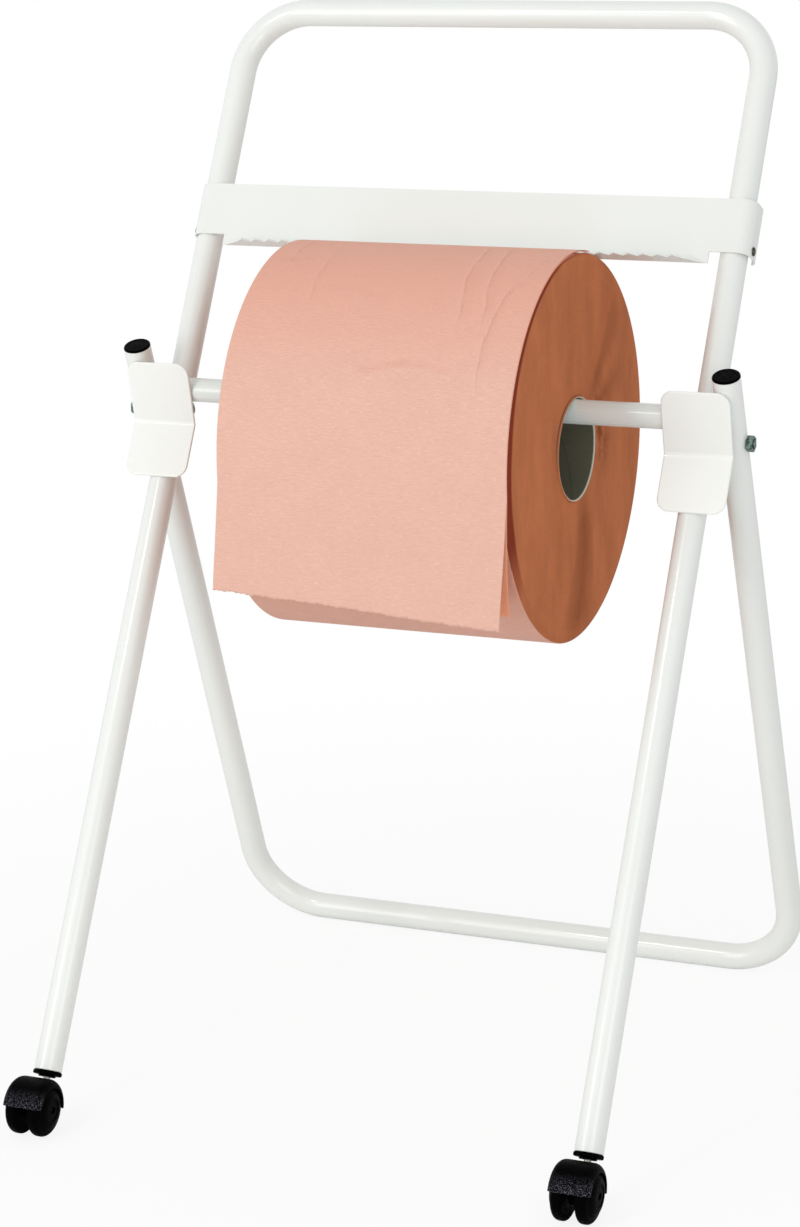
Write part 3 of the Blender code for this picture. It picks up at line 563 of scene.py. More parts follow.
# Painted shadow in the gap under the sheets, as two angles and what goes with each: its inner
# radius as it widens round the front of the roll, and its strength as it begins over the crown
# and ends below.
GAP_SHADOW_WIDENS = (1.7, 2.9, ROLL_RADIUS - 4 * MM, ROLL_RADIUS - 19 * MM)
GAP_SHADOW_BEGINS = (1.3, 1.9, 0.10, 0.97)
GAP_SHADOW_ENDS = (-2.85, -2.50, 0.97, 0.10)
GAP_SHADOW_BLUR = 2.5 * MM


def cut_end_finish(name, base, gap):
    """Cut ends of the wound tissue: faint rings, streaks of painted shade along folds below and
    beside the core with one painted highlight, a crumpled patch behind the core with painted
    shade in its crumples, and a painted shadow, dark red, under the edge of the hanging sheet."""
    made = Recipe(name, base, 0.95, Specular_IOR_Level=0.1)
    sideways, angle, reach = made.round_the_roll()
    ring_place = made.node(
        "CombineXYZ", X=made.times(reach, 480), Y=made.times(angle, 3), Z=made.times(sideways, 9)
    )
    rings = made.noise(ring_place.outputs["Vector"], 1.0, 5.0, 0.6)
    clouds = made.noise(made.place(stretch=(1, 26, 9)), 1.0, 4.0, 0.6)
    grain = made.noise(made.place(stretch=(1, 1100, 190)))
    crumple = made.noise(made.place(stretch=(1, 120, 75)), 1.0, 5.0, 0.7)
    made.mottle(made.remap(clouds, 0.3, 0.7), 0.78, 1.20)
    made.tint(made.remap(rings, 0.35, 0.75, 0.0, 0.35), 0.78)
    made.tint(made.remap(grain, 0.3, 0.7, 0.0, 0.5), 1.16)
    for factors, *streak in STREAKS:
        made.tint(made.wedge(angle, reach, *streak), *factors)
    patch = made.wedge(angle, reach, *CRUMPLED)
    crushed = made.times(patch, made.remap(crumple, 0.42, 0.58, 0.0, 0.9))
    made.tint(crushed, *FOLD_SHADE)
    # Painted shadow along the rim, under the edge of the hanging sheets.
    start = made.remap(made.calc("ABSOLUTE", angle), *GAP_SHADOW_WIDENS)
    rim = made.remap(made.calc("SUBTRACT", reach, start), 0.0, GAP_SHADOW_BLUR)
    shown = made.calc("MAXIMUM", made.remap(angle, *GAP_SHADOW_BEGINS), made.remap(angle, *GAP_SHADOW_ENDS))
    made.tint(made.times(rim, shown), to=gap)
    return made.finish((rings, 0.8 * MM, 0.4), (crushed, 2.5 * MM, 0.5), (grain, 0.5 * MM, 0.4))


# Each finish: the record's material slot, how it is made, and the colours it is made from.
RECIPES = {
    "warm white lacquer": ("white_lacquer", lacquer_finish, "lacquer"),
    # The brackets: a lighter copy of the lacquer as painted light, with a painted fold highlight.
    "rubbed white lacquer": ("white_lacquer", lacquer_finish, "lit_bracket_lacquer", "rubbed"),
    "grained black plastic": ("black_plastic", plastic_finish, "plastic"),
    "bright-grained plastic": ("black_plastic", plastic_finish, "plastic", "hood_glint"),
    "bright stems": ("zinc_plate", zinc_finish, "stem"),
    "passivated zinc": ("zinc_plate", zinc_finish, "zinc"),
    "dark screws": ("zinc_plate", zinc_finish, "screw"),
    "bright drawn tube": ("bright_tube", bright_finish, "bright"),
    "grey spiral card": ("grey_card", card_finish, "card", "card_rim", "cut_paper"),
    "creped tissue": ("salmon_paper", sheet_finish, "paper"),
    "inner tissue": ("salmon_paper", sheet_finish, "lit_inner_paper"),
    "wound tissue": ("salmon_paper", barrel_finish, "wound_paper"),
    "wound tissue ends": ("salmon_paper", cut_end_finish, "cut_paper", "paper_shadow"),
}


def finish_of(name):
    """The finish of that name, made when it is first asked for."""
    made = bpy.data.materials.get(name)
    if made is None:
        _, recipe, *colours = RECIPES[name]
        chosen = bpy.context.scene.stand_finishes
        made = recipe(name, *(tuple(getattr(chosen, colour)) for colour in colours))
    return made


def quads(rows, columns, round_rows=False, round_columns=False):
    """Four-sided faces between neighbours of a grid, whose rows or columns may close up."""
    row = np.arange(rows if round_rows else rows - 1)
    column = np.arange(columns if round_columns else columns - 1)
    row, column = np.meshgrid(row, column, indexing="ij")
    next_row = (row + 1) % rows
    next_column = (column + 1) % columns
    ends = ((row, column), (row, next_column), (next_row, next_column), (next_row, column))
    return np.stack([down * columns + across for down, across in ends], -1).reshape(-1, 4)


def make_piece(name, grid, finish, body, *replaced, open_sheet=False, uv=None, marks=None):
    """A mesh piece from a grid's points and faces, merged at its seams and facing out."""
    points, faces = grid
    mesh = bpy.data.meshes.new(name)
    mesh.from_pydata(points.reshape(-1, 3).tolist(), [], faces.tolist())
    if uv is not None:
        layer = mesh.uv_layers.new(name="Sheet")
        layer.data.foreach_set("uv", uv.reshape(-1, 2)[faces.ravel()].astype(np.float32).ravel())
    # The sheets' painted crease shading, one value for each point.
    if marks is not None:
        layer = mesh.attributes.new("crease", "FLOAT", "POINT")
        layer.data.foreach_set("value", marks.ravel().astype(np.float32))
    shape = bmesh.new()
    shape.from_mesh(mesh)
    bmesh.ops.remove_doubles(shape, verts=shape.verts, dist=MERGED_WITHIN)
    loose = [vertex for vertex in shape.verts if not vertex.link_faces]
    bmesh.ops.delete(shape, geom=loose, context="VERTS")
    if not open_sheet:
        bmesh.ops.recalc_face_normals(shape, faces=shape.faces)
    shape.to_mesh(mesh)
    shape.free()
    mesh.shade_smooth()
    mesh.set_sharp_from_angle(angle=SHARP_FROM)
    mesh.materials.append(finish_of(finish))
    obj = bpy.data.objects.new(name, mesh)
    bpy.context.scene.collection.objects.link(obj)
    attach(obj, body)
    if replaced:
        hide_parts(*replaced)
    return obj


def thicken(obj, thickness, offset, edge=0.0):
    """Gives an open sheet its thickness, and rounds its edges."""
    wall = obj.modifiers.new("Wall", "SOLIDIFY")
    wall.thickness = thickness
    wall.offset = offset
    wall.use_even_offset = True
    if edge:
        rounding = obj.modifiers.new("Edge", "BEVEL")
        rounding.width = edge
        rounding.segments = 2
        rounding.limit_method = "ANGLE"
        rounding.angle_limit = ROUNDED_FROM


def flat_shading(obj):
    """Shades wide faces flat and keeps the shine's turn in the narrow ones between them."""
    obj.modifiers.new("Shading", "WEIGHTED_NORMAL").keep_sharp = True


def bow(distance, height, radius, start, end, count):
    """(distance, radius) points of an arc in a profile, from angle start to angle end."""
    angles = np.linspace(start, end, count)
    return np.stack([distance + radius * np.cos(angles), height + radius * np.sin(angles)], -1)


def spokes(angles, first, second):
    """Ways out from an axis, at angles from the first way towards the second."""
    return np.cos(angles)[..., None] * first + np.sin(angles)[..., None] * second


def turned(profile, origin, axis, first, count, closed=False, scale=1.0):
    """A profile of (distance, radius) points carried round an axis: origin + distance * axis
    + radius * (cos * first + sin * second). scale multiplies the radius at each turn."""
    ways = spokes(np.linspace(0, FULL_TURN, count, endpoint=False), first, np.cross(axis, first))
    radii = profile[:, 1:] * np.ones(count) * scale
    points = origin + profile[:, :1, None] * axis + radii[..., None] * ways
    return points, quads(len(profile), count, closed, True)


def by_the_legs(across, along, ahead):
    """Points at distances from the pivot: across the stand, up the legs and ahead of them."""
    return (
        PIVOT + across[..., None] * SIDE + along[..., None] * UP_LEG + ahead[..., None] * AHEAD
    )


def along_leg(point):
    """How far up the legs a point is from the pivot."""
    return float((point - PIVOT) @ UP_LEG)


def rear_legs(tube):
    """Half the distance between the rear legs, the way down them, and how far down the foot is."""
    down = np.array([0, REAR_HIGH[1] - tube / 2, REAR_LOW[2] + tube / 2]) - PIVOT
    reach = np.linalg.norm(down)
    return REAR_HIGH[0] - tube / 2, down / reach, reach


def bent_tube(half, rise, bend, sizes, origin, run):
    """A U of tube: rings carried along a straight leg, a quarter circle, a crossbar and back.
    The radius first climbs the hollow end from its bottom, so that both ends are open bores."""
    straight = rise - bend
    reach = half - bend
    marks = np.cumsum([0, straight, bend * QUARTER, 2 * reach, bend * QUARTER, straight])
    depth, edge, bore, outer = sizes.bore_depth, sizes.edge, sizes.tube_bore / 2, sizes.tube / 2
    end_places = np.array([depth, depth, edge, 0, 0, edge])
    end_radii = np.array([0, bore, bore, bore + edge, outer - edge, outer])
    middle = np.concatenate(
        [
            np.linspace(marks[1], marks[2], BEND_RINGS),
            np.linspace(marks[2], marks[3], CROSSBAR_RINGS)[1:-1],
            np.linspace(marks[3], marks[4], BEND_RINGS),
        ]
    )
    places = np.concatenate([end_places, middle, marks[-1] - end_places[::-1]])
    radii = np.concatenate([end_radii, np.full(len(middle), outer), end_radii[::-1]])
    heading = np.interp(places, marks, [QUARTER, QUARTER, 0, 0, -QUARTER, -QUARTER])
    centre_x = np.interp(places, marks, [-reach, -reach, -reach, reach, reach, reach])
    centre_rise = np.interp(places, marks, [0, straight, straight, straight, straight, 0])
    x = centre_x - bend * np.sin(heading)
    height = centre_rise + bend * np.cos(heading)
    centres = origin + x[:, None] * SIDE + height[:, None] * run
    across = np.cos(heading)[:, None] * run - np.sin(heading)[:, None] * SIDE
    angles = np.linspace(0, FULL_TURN, TUBE_SIDES, endpoint=False)[None, :]
    ways = spokes(angles, across[:, None, :], np.cross(SIDE, run))
    points = centres[:, None, :] + radii[:, None, None] * ways
    return points, quads(len(places), TUBE_SIDES, False, True)


class STAND_OT_frame_tubes(bpy.types.Operator):
    """Builds the two bent tubes of the stand"""

    bl_idname = "stand.frame_tubes"
    bl_label = "Frame tubes"

    def execute(self, context):
        sizes = context.scene.stand_sizes
        finish = "warm white lacquer"
        collar = along_leg(COLLARS["right"])
        handle = (FRONT_HIGH[2] - sizes.tube / 2 - PIVOT[2]) / UP_LEG[2]
        start = PIVOT + collar * UP_LEG
        front = bent_tube(HALF_TRACK, handle - collar, sizes.handle_bend, sizes, start, UP_LEG)
        make_piece("front_tube", front, finish, "front_stand", "front_frame")
        half, down, reach = rear_legs(sizes.tube)
        start = PIVOT - sizes.stub * down
        rear = bent_tube(half, reach + sizes.stub, sizes.foot_bend, sizes, start, down)
        make_piece("rear_tube", rear, finish, "rear_stand", "rear_frame")
        return {"FINISHED"}


# Shares of the plug's crown: the rounding of its rim, and its shank in the tube.
PLUG_ROUNDING = 0.75
PLUG_SHANK = 6
PLUG_RIM_STEPS = 7


class STAND_OT_tube_plugs(bpy.types.Operator):
    """Builds the black plugs in the upper ends of the rear tube"""

    bl_idname = "stand.tube_plugs"
    bl_label = "Tube plugs"

    def execute(self, context):
        sizes = context.scene.stand_sizes
        half, down, _ = rear_legs(sizes.tube)
        rim = sizes.tube / 2
        crown = sizes.plug_crown
        rounding = PLUG_ROUNDING * crown
        dip = crown - rounding
        shank = sizes.tube_bore / 2 - sizes.fit
        seat = sizes.stub + sizes.fit
        bottom = seat - PLUG_SHANK * crown
        share = np.linspace(1, 0, ROUNDING_STEPS)[1:]
        dish = np.stack([seat + crown - dip * share**2, (rim - crown) * share], -1)
        profile = np.concatenate(
            [
                [[bottom, 0], [bottom, shank], [seat, shank], [seat, rim]],
                bow(seat + dip, rim - rounding, rounding, QUARTER, 0, PLUG_RIM_STEPS),
                dish,
            ]
        )
        for side, way in SIDES.items():
            plug = turned(profile, PIVOT + way * half * SIDE, -down, SIDE, SMALL_SIDES)
            finish = "grained black plastic"
            make_piece("tube_plug_" + side, plug, finish, "rear_stand", "rear_plug_" + side)
        return {"FINISHED"}


def flattened_loops(widths, halves, inner, count=6):
    """(across, depth) loops round a flat bar: two straight sides joined by half circles whose
    radius is half the thickness, one loop for each row of half widths and half thicknesses."""
    right = np.linspace(-QUARTER, QUARTER, count)
    left = np.linspace(QUARTER, 3 * QUARTER, count)
    angles = np.concatenate([right, left])
    sign = np.repeat([1.0, -1.0], count)
    across = inner + sign * (widths - halves)[:, None] + halves[:, None] * np.cos(angles)
    return across, halves[:, None] * np.sin(angles)


def close_ends(rows, columns):
    """Strips of faces that close the first and the last loop of a flattened bar."""
    low = np.arange(columns // 2 - 1)
    high = columns - 1 - low
    strip = np.stack([low, low + 1, high - 1, high], -1)
    return np.concatenate([strip, strip[:, ::-1] + (rows - 1) * columns])


PLATE_END_STEPS = 5
PLATE_ROWS = 60


class STAND_OT_brackets(bpy.types.Operator):
    """Builds the two bent bracket plates that hold the spindle"""

    bl_idname = "stand.brackets"
    bl_label = "Bracket plates"

    def execute(self, context):
        sizes = context.scene.stand_sizes
        middle, half = extent("bracket_right")
        thin = sizes.bracket_sheet / 2
        corner, lower, upper = sizes.bracket_corner, sizes.bracket_lower, sizes.bracket_upper
        rows, widths, halves = self.outline(half[0], thin, corner, lower, upper)
        lean, run, out = self.fold(sizes, rows, lower, upper)
        front = sizes.tube / 2 + sizes.fit
        for side, way in SIDES.items():
            across, depth = flattened_loops(widths, halves, way * middle[0])
            depth = depth + thin
            along = sizes.bracket_fold + run[:, None] - depth * np.sin(lean)[:, None]
            ahead = front + out[:, None] + depth * np.cos(lean)[:, None]
            size = across.shape
            faces = np.concatenate([quads(*size, False, True), close_ends(*size)])
            plate = make_piece(
                "bracket_plate_" + side,
                (by_the_legs(across, along, ahead), faces),
                "rubbed white lacquer",
                "front_stand",
                "bracket_" + side,
            )
            flat_shading(plate)
        return {"FINISHED"}

    def outline(self, half_width, thin, corner, lower, upper):
        """Rows from the plate's lower to its upper end, with half its width and half its
        thickness there: round corners, and ends rounded over the thickness."""
        ends = thin * (1 - np.cos(np.linspace(0, QUARTER, PLATE_END_STEPS)))
        corners = corner * (1 - np.cos(np.linspace(0, QUARTER, CORNER_STEPS)))
        straight = np.linspace(corner - lower, upper - corner, PLATE_ROWS)
        rows = np.concatenate(
            [ends - lower, corners - lower, straight, upper - corners, upper - ends]
        )
        rows = np.unique(rows)
        from_end = np.minimum(rows + lower, upper - rows)
        inset = np.clip(corner - from_end, 0, corner)
        rim = np.clip(thin - from_end, 0, thin)
        halves = np.maximum(np.sqrt(thin**2 - rim**2), LEAST)
        widths = half_width - corner + np.sqrt(corner**2 - inset**2)
        return rows, np.maximum(widths, halves), halves

    def fold(self, sizes, rows, lower, upper):
        """Lean of each row, and its place up the leg and ahead: the plate's length summed in
        fine steps, each turned by the lean, which grows over the arc of the fold."""
        arc = sizes.bracket_fold_radius * sizes.bracket_lean / 2
        fine = np.linspace(-lower, upper, FINE_STEPS)
        leans = [np.interp(x, [-arc, arc], [0, sizes.bracket_lean]) for x in (rows, fine)]
        run = np.cumsum(np.cos(leans[1])) * (fine[1] - fine[0])
        out = np.cumsum(np.sin(leans[1])) * (fine[1] - fine[0])
        run = np.interp(rows, fine, run - np.interp(0, fine, run))
        return leans[0], run, np.interp(rows, fine, out - out[0])


FLANGE_LEAST = MM / 20  # beyond its bend, at its ends
TOOTH_STEPS = 8
SLANT_STEPS = 7
FACE_ROWS = 5
LIP_ROWS = 3
FOLD_ROWS = 5
FLANGE_ROWS = 4


class STAND_OT_tear_bar(bpy.types.Operator):
    """Builds the folded tear bar with its toothed flange"""

    bl_idname = "stand.tear_bar"
    bl_label = "Tear bar"

    def execute(self, context):
        sizes = context.scene.stand_sizes
        radius = sizes.tube / 2 + sizes.fit
        lip = HALF_TRACK - sizes.tube / 2 - sizes.lip_clearance
        x, ahead, flange = self.run(sizes, radius, lip)
        along, out = self.section(sizes, flange)
        points = by_the_legs(x + sizes.bar_play, along, ahead + out)
        rows, columns = along.shape
        faces = quads(rows, columns)
        row, column = divmod(faces[:, 0], columns)
        on_lip = np.abs(x) <= lip + MERGED_WITHIN
        kept = (row < FACE_ROWS - 1) | (on_lip[column] & on_lip[column + 1])
        bar = make_piece(
            "folded_tear_bar",
            (points, faces[kept][:, ::-1]),
            "warm white lacquer",
            "front_stand",
            "tear_bar",
            open_sheet=True,
        )
        thicken(bar, sizes.bar_sheet, 1, sizes.edge / 2)
        flat_shading(bar)
        return {"FINISHED"}

    def run(self, sizes, radius, lip):
        """From the left wrap to the right one: the place across, how far ahead it is, and the
        flange's depth there, a slant at each end and triangular teeth between them."""
        teeth_half = lip - sizes.flange_chamfer
        count = max(round(2 * teeth_half / sizes.tooth_pitch), 1)
        corner = np.linspace(0, QUARTER, CORNER_STEPS)
        curl = QUARTER + np.linspace(0, sizes.wrap_curl, ARC_STEPS)
        wrap = np.concatenate([corner, curl])
        set_back = np.where(np.arange(len(wrap)) < CORNER_STEPS, 0, sizes.wrap_side)
        wrap_x = HALF_TRACK + radius + sizes.bar_play + sizes.wrap_bend * (np.sin(wrap) - 1)
        wrap_ahead = radius - set_back + sizes.wrap_bend * (np.cos(wrap) - 1)
        inside = np.linspace(-teeth_half, teeth_half, count * TOOTH_STEPS + 1)
        chamfer = np.linspace(teeth_half, lip, SLANT_STEPS + 1)[1:]
        lip_x = np.concatenate([-chamfer[::-1], inside, chamfer])
        x = np.concatenate([-wrap_x[::-1], lip_x, wrap_x])
        ahead = np.concatenate([wrap_ahead[::-1], np.full(len(lip_x), radius), wrap_ahead])
        phase = (x + teeth_half) / (2 * teeth_half / count)
        teeth = sizes.tooth_depth * (1 - np.abs((phase % 1) * 2 - 1))
        slant = np.clip((lip - np.abs(x)) / (lip - teeth_half), 0, 1)
        flange = (sizes.flange - sizes.tooth_depth) * slant
        return x, ahead, np.where(np.abs(x) < teeth_half, flange + teeth, flange)

    def section(self, sizes, flange):
        """From the top down: the face, the lip, a quarter circle, and the flange going ahead to
        its depth. Gives heights up the leg and distances ahead."""
        radius = sizes.bar_sheet
        top = sizes.bar_bottom + sizes.bar_height
        fold = sizes.bar_bottom - sizes.lip_depth
        face = np.linspace(top, sizes.bar_bottom, FACE_ROWS)
        lip = np.linspace(sizes.bar_bottom, fold + radius, LIP_ROWS + 1)[1:]
        turns = np.linspace(0, QUARTER, FOLD_ROWS + 1)[1:]
        shares = np.linspace(0, 1, FLANGE_ROWS + 1)[1:, None]
        bend = fold + radius * (1 - np.sin(turns))
        heights = np.concatenate([face, lip, bend, np.full(FLANGE_ROWS, fold)])
        level = np.zeros(FACE_ROWS + LIP_ROWS)
        bend_out = np.concatenate([level, radius * (1 - np.cos(turns))])
        flange_out = radius + shares * np.maximum(flange - radius, FLANGE_LEAST)
        out = np.concatenate([np.repeat(bend_out[:, None], len(flange), 1), flange_out])
        return np.repeat(heights[:, None], len(flange), 1), out


FASTENERS = {
    "passivated zinc": ("pivot_bolt_", "pivot_washer_", "pivot_nut_", "castor_axle_"),
    "bright stems": ("castor_stem_",),
    "dark screws": ("tear_bar_screw_",),
}


class STAND_OT_fasteners(bpy.types.Operator):
    """Finishes the bolts, washers, nuts and screws"""

    bl_idname = "stand.fasteners"
    bl_label = "Fasteners"

    def execute(self, context):
        for finish, kinds in FASTENERS.items():
            for node in (kind + side for kind in kinds for side in SIDES):
                for slot in frame["nodes"][node].material_slots:
                    slot.link = "OBJECT"
                    slot.material = finish_of(finish)
        return {"FINISHED"}


class STAND_OT_spindle(bpy.types.Operator):
    """Builds the bright spindle tube"""

    bl_idname = "stand.spindle"
    bl_label = "Spindle"

    def execute(self, context):
        sizes = context.scene.stand_sizes
        half, outer, _ = extent("spindle")[1]
        bore = outer - sizes.bar_sheet
        edge = sizes.edge
        right = [[half, bore], [half, outer - edge], [half - edge, outer], [half / 2, outer]]
        right = np.array(right)
        profile = np.concatenate([right * (-1, 1), [[0, outer]], right[::-1]])
        tube = turned(profile, SPINDLE_AXIS, SIDE, BACK, TUBE_SIDES, closed=True)
        make_piece("spindle_tube", tube, "bright drawn tube", "spindle", "spindle")
        return {"FINISHED"}


def ripple(first, second, waves):
    """Sum of sines of two coordinates: each wave is (first factor, second factor, phase, size)."""
    return sum(size * np.sin(a * first + b * second + phase) for a, b, phase, size in waves)


ROUNDNESS_WAVES = ((2, 3, 0.4, 0.5), (3, -9, 1.3, 0.35), (5, 14, 2.2, 0.25), (9, 31, 0.7, 0.12))
TELESCOPE_WAVES = ((1, 40, 0.2, 0.5), (2, 95, 1.9, 0.35), (3, 190, 0.6, 0.25), (1, 420, 2.5, 0.2))
CORE_CLEARANCE = MM / 4
ROLL_SIDES = 220
ROLL_END_RINGS = 70
BARREL_RINGS = 60
FACES_SIDEWAYS = 0.7  # sideways share of a normal, from which a face is on a cut end


class STAND_OT_roll(bpy.types.Operator):
    """Builds the wound paper and its card core"""

    bl_idname = "stand.roll"
    bl_label = "Roll and core"

    def execute(self, context):
        paper = context.scene.paper_sizes
        origin = ROLL_AXIS * MIDPLANE + ROLL_MIDDLE[0] * SIDE
        self.wound_paper(paper, origin)
        half = float(CORE_HALF[0])
        rim = paper.card / 2
        centre = CORE_RADIUS - rim
        right = bow(half - rim, centre, rim, -QUARTER, QUARTER, ARC_STEPS)
        left = bow(rim - half, centre, rim, QUARTER, 3 * QUARTER, ARC_STEPS)
        profile = np.concatenate([right, left])
        core = turned(profile, origin, SIDE, BACK, FINE_SIDES, closed=True)
        make_piece("card_core", core, "grey spiral card", "roll", "roll_core")
        return {"FINISHED"}

    def wound_paper(self, paper, origin):
        """A closed profile of two flat ends, rounded shoulders and the barrel, carried round the
        axis. Ripples draw the barrel in, and slip the turns of the ends sideways."""
        half = float(ROLL_HALF[0])
        inner = CORE_RADIUS + CORE_CLEARANCE
        shoulder = paper.shoulder
        corner = ROLL_RADIUS - shoulder
        face = np.linspace(inner, corner, ROLL_END_RINGS)[:-1]
        face = np.stack([np.full(len(face), half), face], -1)
        round_corner = bow(half - shoulder, corner, shoulder, 0, QUARTER, ROUNDING_STEPS)
        right = np.concatenate([face, round_corner])
        across = np.linspace(half - shoulder, shoulder - half, BARREL_RINGS)[1:-1]
        barrel = np.stack([across, np.full(len(across), ROLL_RADIUS)], -1)
        profile = np.concatenate([right, barrel, right[::-1] * (-1, 1)])
        distance, reach = profile[:, :1], profile[:, 1:]
        angles = np.linspace(0, FULL_TURN, ROLL_SIDES, endpoint=False)[None, :]
        outward = np.clip((reach - inner) / (ROLL_RADIUS - inner), 0, 1) ** 4
        shrink = paper.unevenness * (ripple(angles, distance, ROUNDNESS_WAVES) - 1) * outward
        facing = np.clip((np.abs(distance) - half + shoulder) / shoulder, 0, 1)
        slip = paper.unevenness * (ripple(angles, reach, TELESCOPE_WAVES) - 1)
        sideways = distance + np.sign(distance) * facing * slip
        ways = spokes(angles, BACK, UP)
        points = origin + sideways[..., None] * SIDE + (reach + shrink)[..., None] * ways
        grid = points, quads(len(profile), ROLL_SIDES, True, True)
        roll = make_piece("wound_paper", grid, "wound tissue", "roll", "paper_roll")
        roll.data.materials.append(finish_of("wound tissue ends"))
        normals = np.empty(len(roll.data.polygons) * 3, np.float32)
        roll.data.polygons.foreach_get("normal", normals)
        on_end = np.abs(normals[::3]) > FACES_SIDEWAYS
        roll.data.polygons.foreach_set("material_index", on_end.astype(np.int32))


TAIL_WAVES = ((6.3, 20.0, 0.0, 1.0), (14.0, -50.0, 1.1, 0.35), (25.0, 90.0, 2.0, 0.18))
TEAR_WAVES = (
    (61, 0, 0.3, 0.30),
    (143, 0, 1.7, 0.28),
    (317, 0, 0.9, 0.30),
    (689, 0, 2.1, 0.26),
    (1213, 0, 0.1, 0.20),
)
# Each crease: its route as (share of the width, distance down the sheet) stops, its width as a
# share and its strength. Each dent: left and right end, distance down, width and strength.
CREASE_ROUTES = (
    (((0.700, 0.030), (0.722, 0.07), (0.726, 0.11), (0.755, 0.150), (0.765, 0.185)), 0.0060, 0.60),
    (((0.780, 0.030), (0.802, 0.07), (0.812, 0.12), (0.838, 0.150), (0.842, 0.180)), 0.0050, 0.65),
    (((0.915, 0.110), (0.885, 0.14), (0.868, 0.184), (0.866, 0.21), (0.874, 0.240)), 0.0035, 0.95),
    (((0.960, 0.060), (0.935, 0.09), (0.915, 0.130)), 0.0040, 0.35),
    (((0.200, 0.060), (0.215, 0.09), (0.212, 0.12), (0.235, 0.165)), 0.0070, 0.35),
    (((0.050, 0.010), (0.075, 0.05), (0.080, 0.100)), 0.0060, 0.45),
)
DENTS = (
    (0.44, 0.80, 0.213, 0.0036, 0.60),
    (0.25, 0.50, 0.135, 0.0040, 0.30),
    (0.03, 0.16, 0.088, 0.0040, 0.55),
)
WANDER_WAVES = ((230, 40, 0.0, 0.0016), (610, 0, 0.0, 0.0009))
DENT_WAVES = ((17, 0, 0.0, 0.004),)
SHEET_COLUMNS = 360
WRAP_ROWS = 80
DROP_ROWS = 50
BED_FROM = math.radians(75)
BED_OVER = math.radians(30)
# Over what length a crease and a dent rise and fall.
CREASE_ENDS = (0.02, 0.03)
DENT_ENDS = (0.06, 0.08)
WIDE_PAIR = 3  # how many times wider than its crease
WIDE_STRENGTH = 0.35


def hill(off):
    """A smooth hill, one high where off is zero and gone beyond two."""
    return np.exp(-(off**2))


def faded(value, start, end, rise, fall):
    """Zero up to start and from end on, and one between, a rise after one and a fall before
    the other."""
    return np.clip((value - start) / rise, 0, 1) * np.clip((end - value) / fall, 0, 1)


def creases(share, down):
    """Height and painted shading of the long creases: across each route a narrow ridge with
    painted shade at its foot and a painted highlight on one side, a wide faint pair of painted
    shade and highlight beside them, and level dents with painted shade at their bottom."""
    height = np.zeros(down.shape)
    painted_shading = np.zeros(down.shape)
    for stops, width, size in CREASE_ROUTES:
        shares, downs = np.array(stops).T
        wander = ripple(down, shares[0], WANDER_WAVES)
        off = (share - np.interp(down, downs, shares) - wander) / width
        fade = size * faded(down, downs[0], downs[-1], *CREASE_ENDS)
        height += fade * hill(off)
        painted_shading += fade * (hill(off - 0.9) ** 2 - 0.5 * hill(off + 0.7))
        wide = off / WIDE_PAIR
        painted_shading += WIDE_STRENGTH * fade * (hill(wide - 1.1) - 0.6 * hill(wide + 1))
    for left, right, level, width, size in DENTS:
        off = (down - level - ripple(share, 0.0, DENT_WAVES)) / width
        fade = size * faded(share, left, right, *DENT_ENDS)
        height -= fade * hill(off)
        painted_shading += fade * (0.9 * hill(off) - 0.5 * hill(off - 1.8))
    return height, np.clip(painted_shading, -1, 1)


class STAND_OT_hanging_paper(bpy.types.Operator):
    """Builds the two torn sheets that hang from the front of the roll"""

    bl_idname = "stand.hanging_paper"
    bl_label = "Hanging paper"

    def execute(self, context):
        paper = context.scene.paper_sizes
        radius = float(ROLL_AXIS[1]) - PAPER_FRONT - abs(paper.outer_curl) - paper.wave
        self.sheet(paper, "outer", "creped tissue", radius, 0.0)
        self.sheet(paper, "inner", "inner tissue", radius - paper.sheet_gap, paper.inner_shorter)
        return {"FINISHED"}

    def sheet(self, paper, name, finish, radius, shorter):
        """A grid of columns across and rows down: rows follow a circle from the tail's start to
        the level of the axis, then fall straight, with waves, skew, creases and a torn edge.
        The start lies the bed's height above the wound paper."""
        curl, skew, bed = (getattr(paper, name + part) for part in ("_curl", "_skew", "_bed"))
        width = 2 * float(ROLL_HALF[0])
        share = np.linspace(0, 1, SHEET_COLUMNS)[None, :]
        wrap = np.linspace(paper.tail_start, 0, WRAP_ROWS)[:, None]
        hang = np.linspace(0, 1, DROP_ROWS)[1:, None]
        angle = np.concatenate([wrap, 0 * hang])
        hung = np.concatenate([0 * wrap, hang])
        drop = paper.tail_drop_left + (paper.tail_drop_right - paper.tail_drop_left) * share
        drop = drop - shorter + paper.tear * ripple(share, 0.0, TEAR_WAVES)
        lengths = radius * (paper.tail_start - angle) + hung * drop
        # The creases' heights, and their painted shading for the sheet's colour.
        folds, marks = creases(share, lengths)
        swell = paper.wave * hung * ripple(share, lengths, TAIL_WAVES) + paper.crease * folds
        bedded = np.clip((angle - BED_FROM) / BED_OVER, 0, 1) ** 2
        reach = radius - (radius - ROLL_RADIUS - bed) * bedded + swell
        come_round = np.sin((1 - angle / paper.tail_start) * QUARTER)
        x = width * (share - 0.5) + ROLL_MIDDLE[0] - skew * hung + paper.drift * come_round
        y = ROLL_AXIS[1] - reach * np.cos(angle) + curl * hung**2
        z = ROLL_AXIS[2] + reach * np.sin(angle) - hung * drop
        sheet = make_piece(
            "tail_" + name,
            (np.stack([x, y, z], -1), quads(*lengths.shape)),
            finish,
            "paper_tail",
            "sheet_" + name,
            open_sheet=True,
            uv=np.stack(np.broadcast_arrays(width * share, -lengths), -1),
            marks=marks,
        )
        thicken(sheet, paper.tail_sheet, 0)


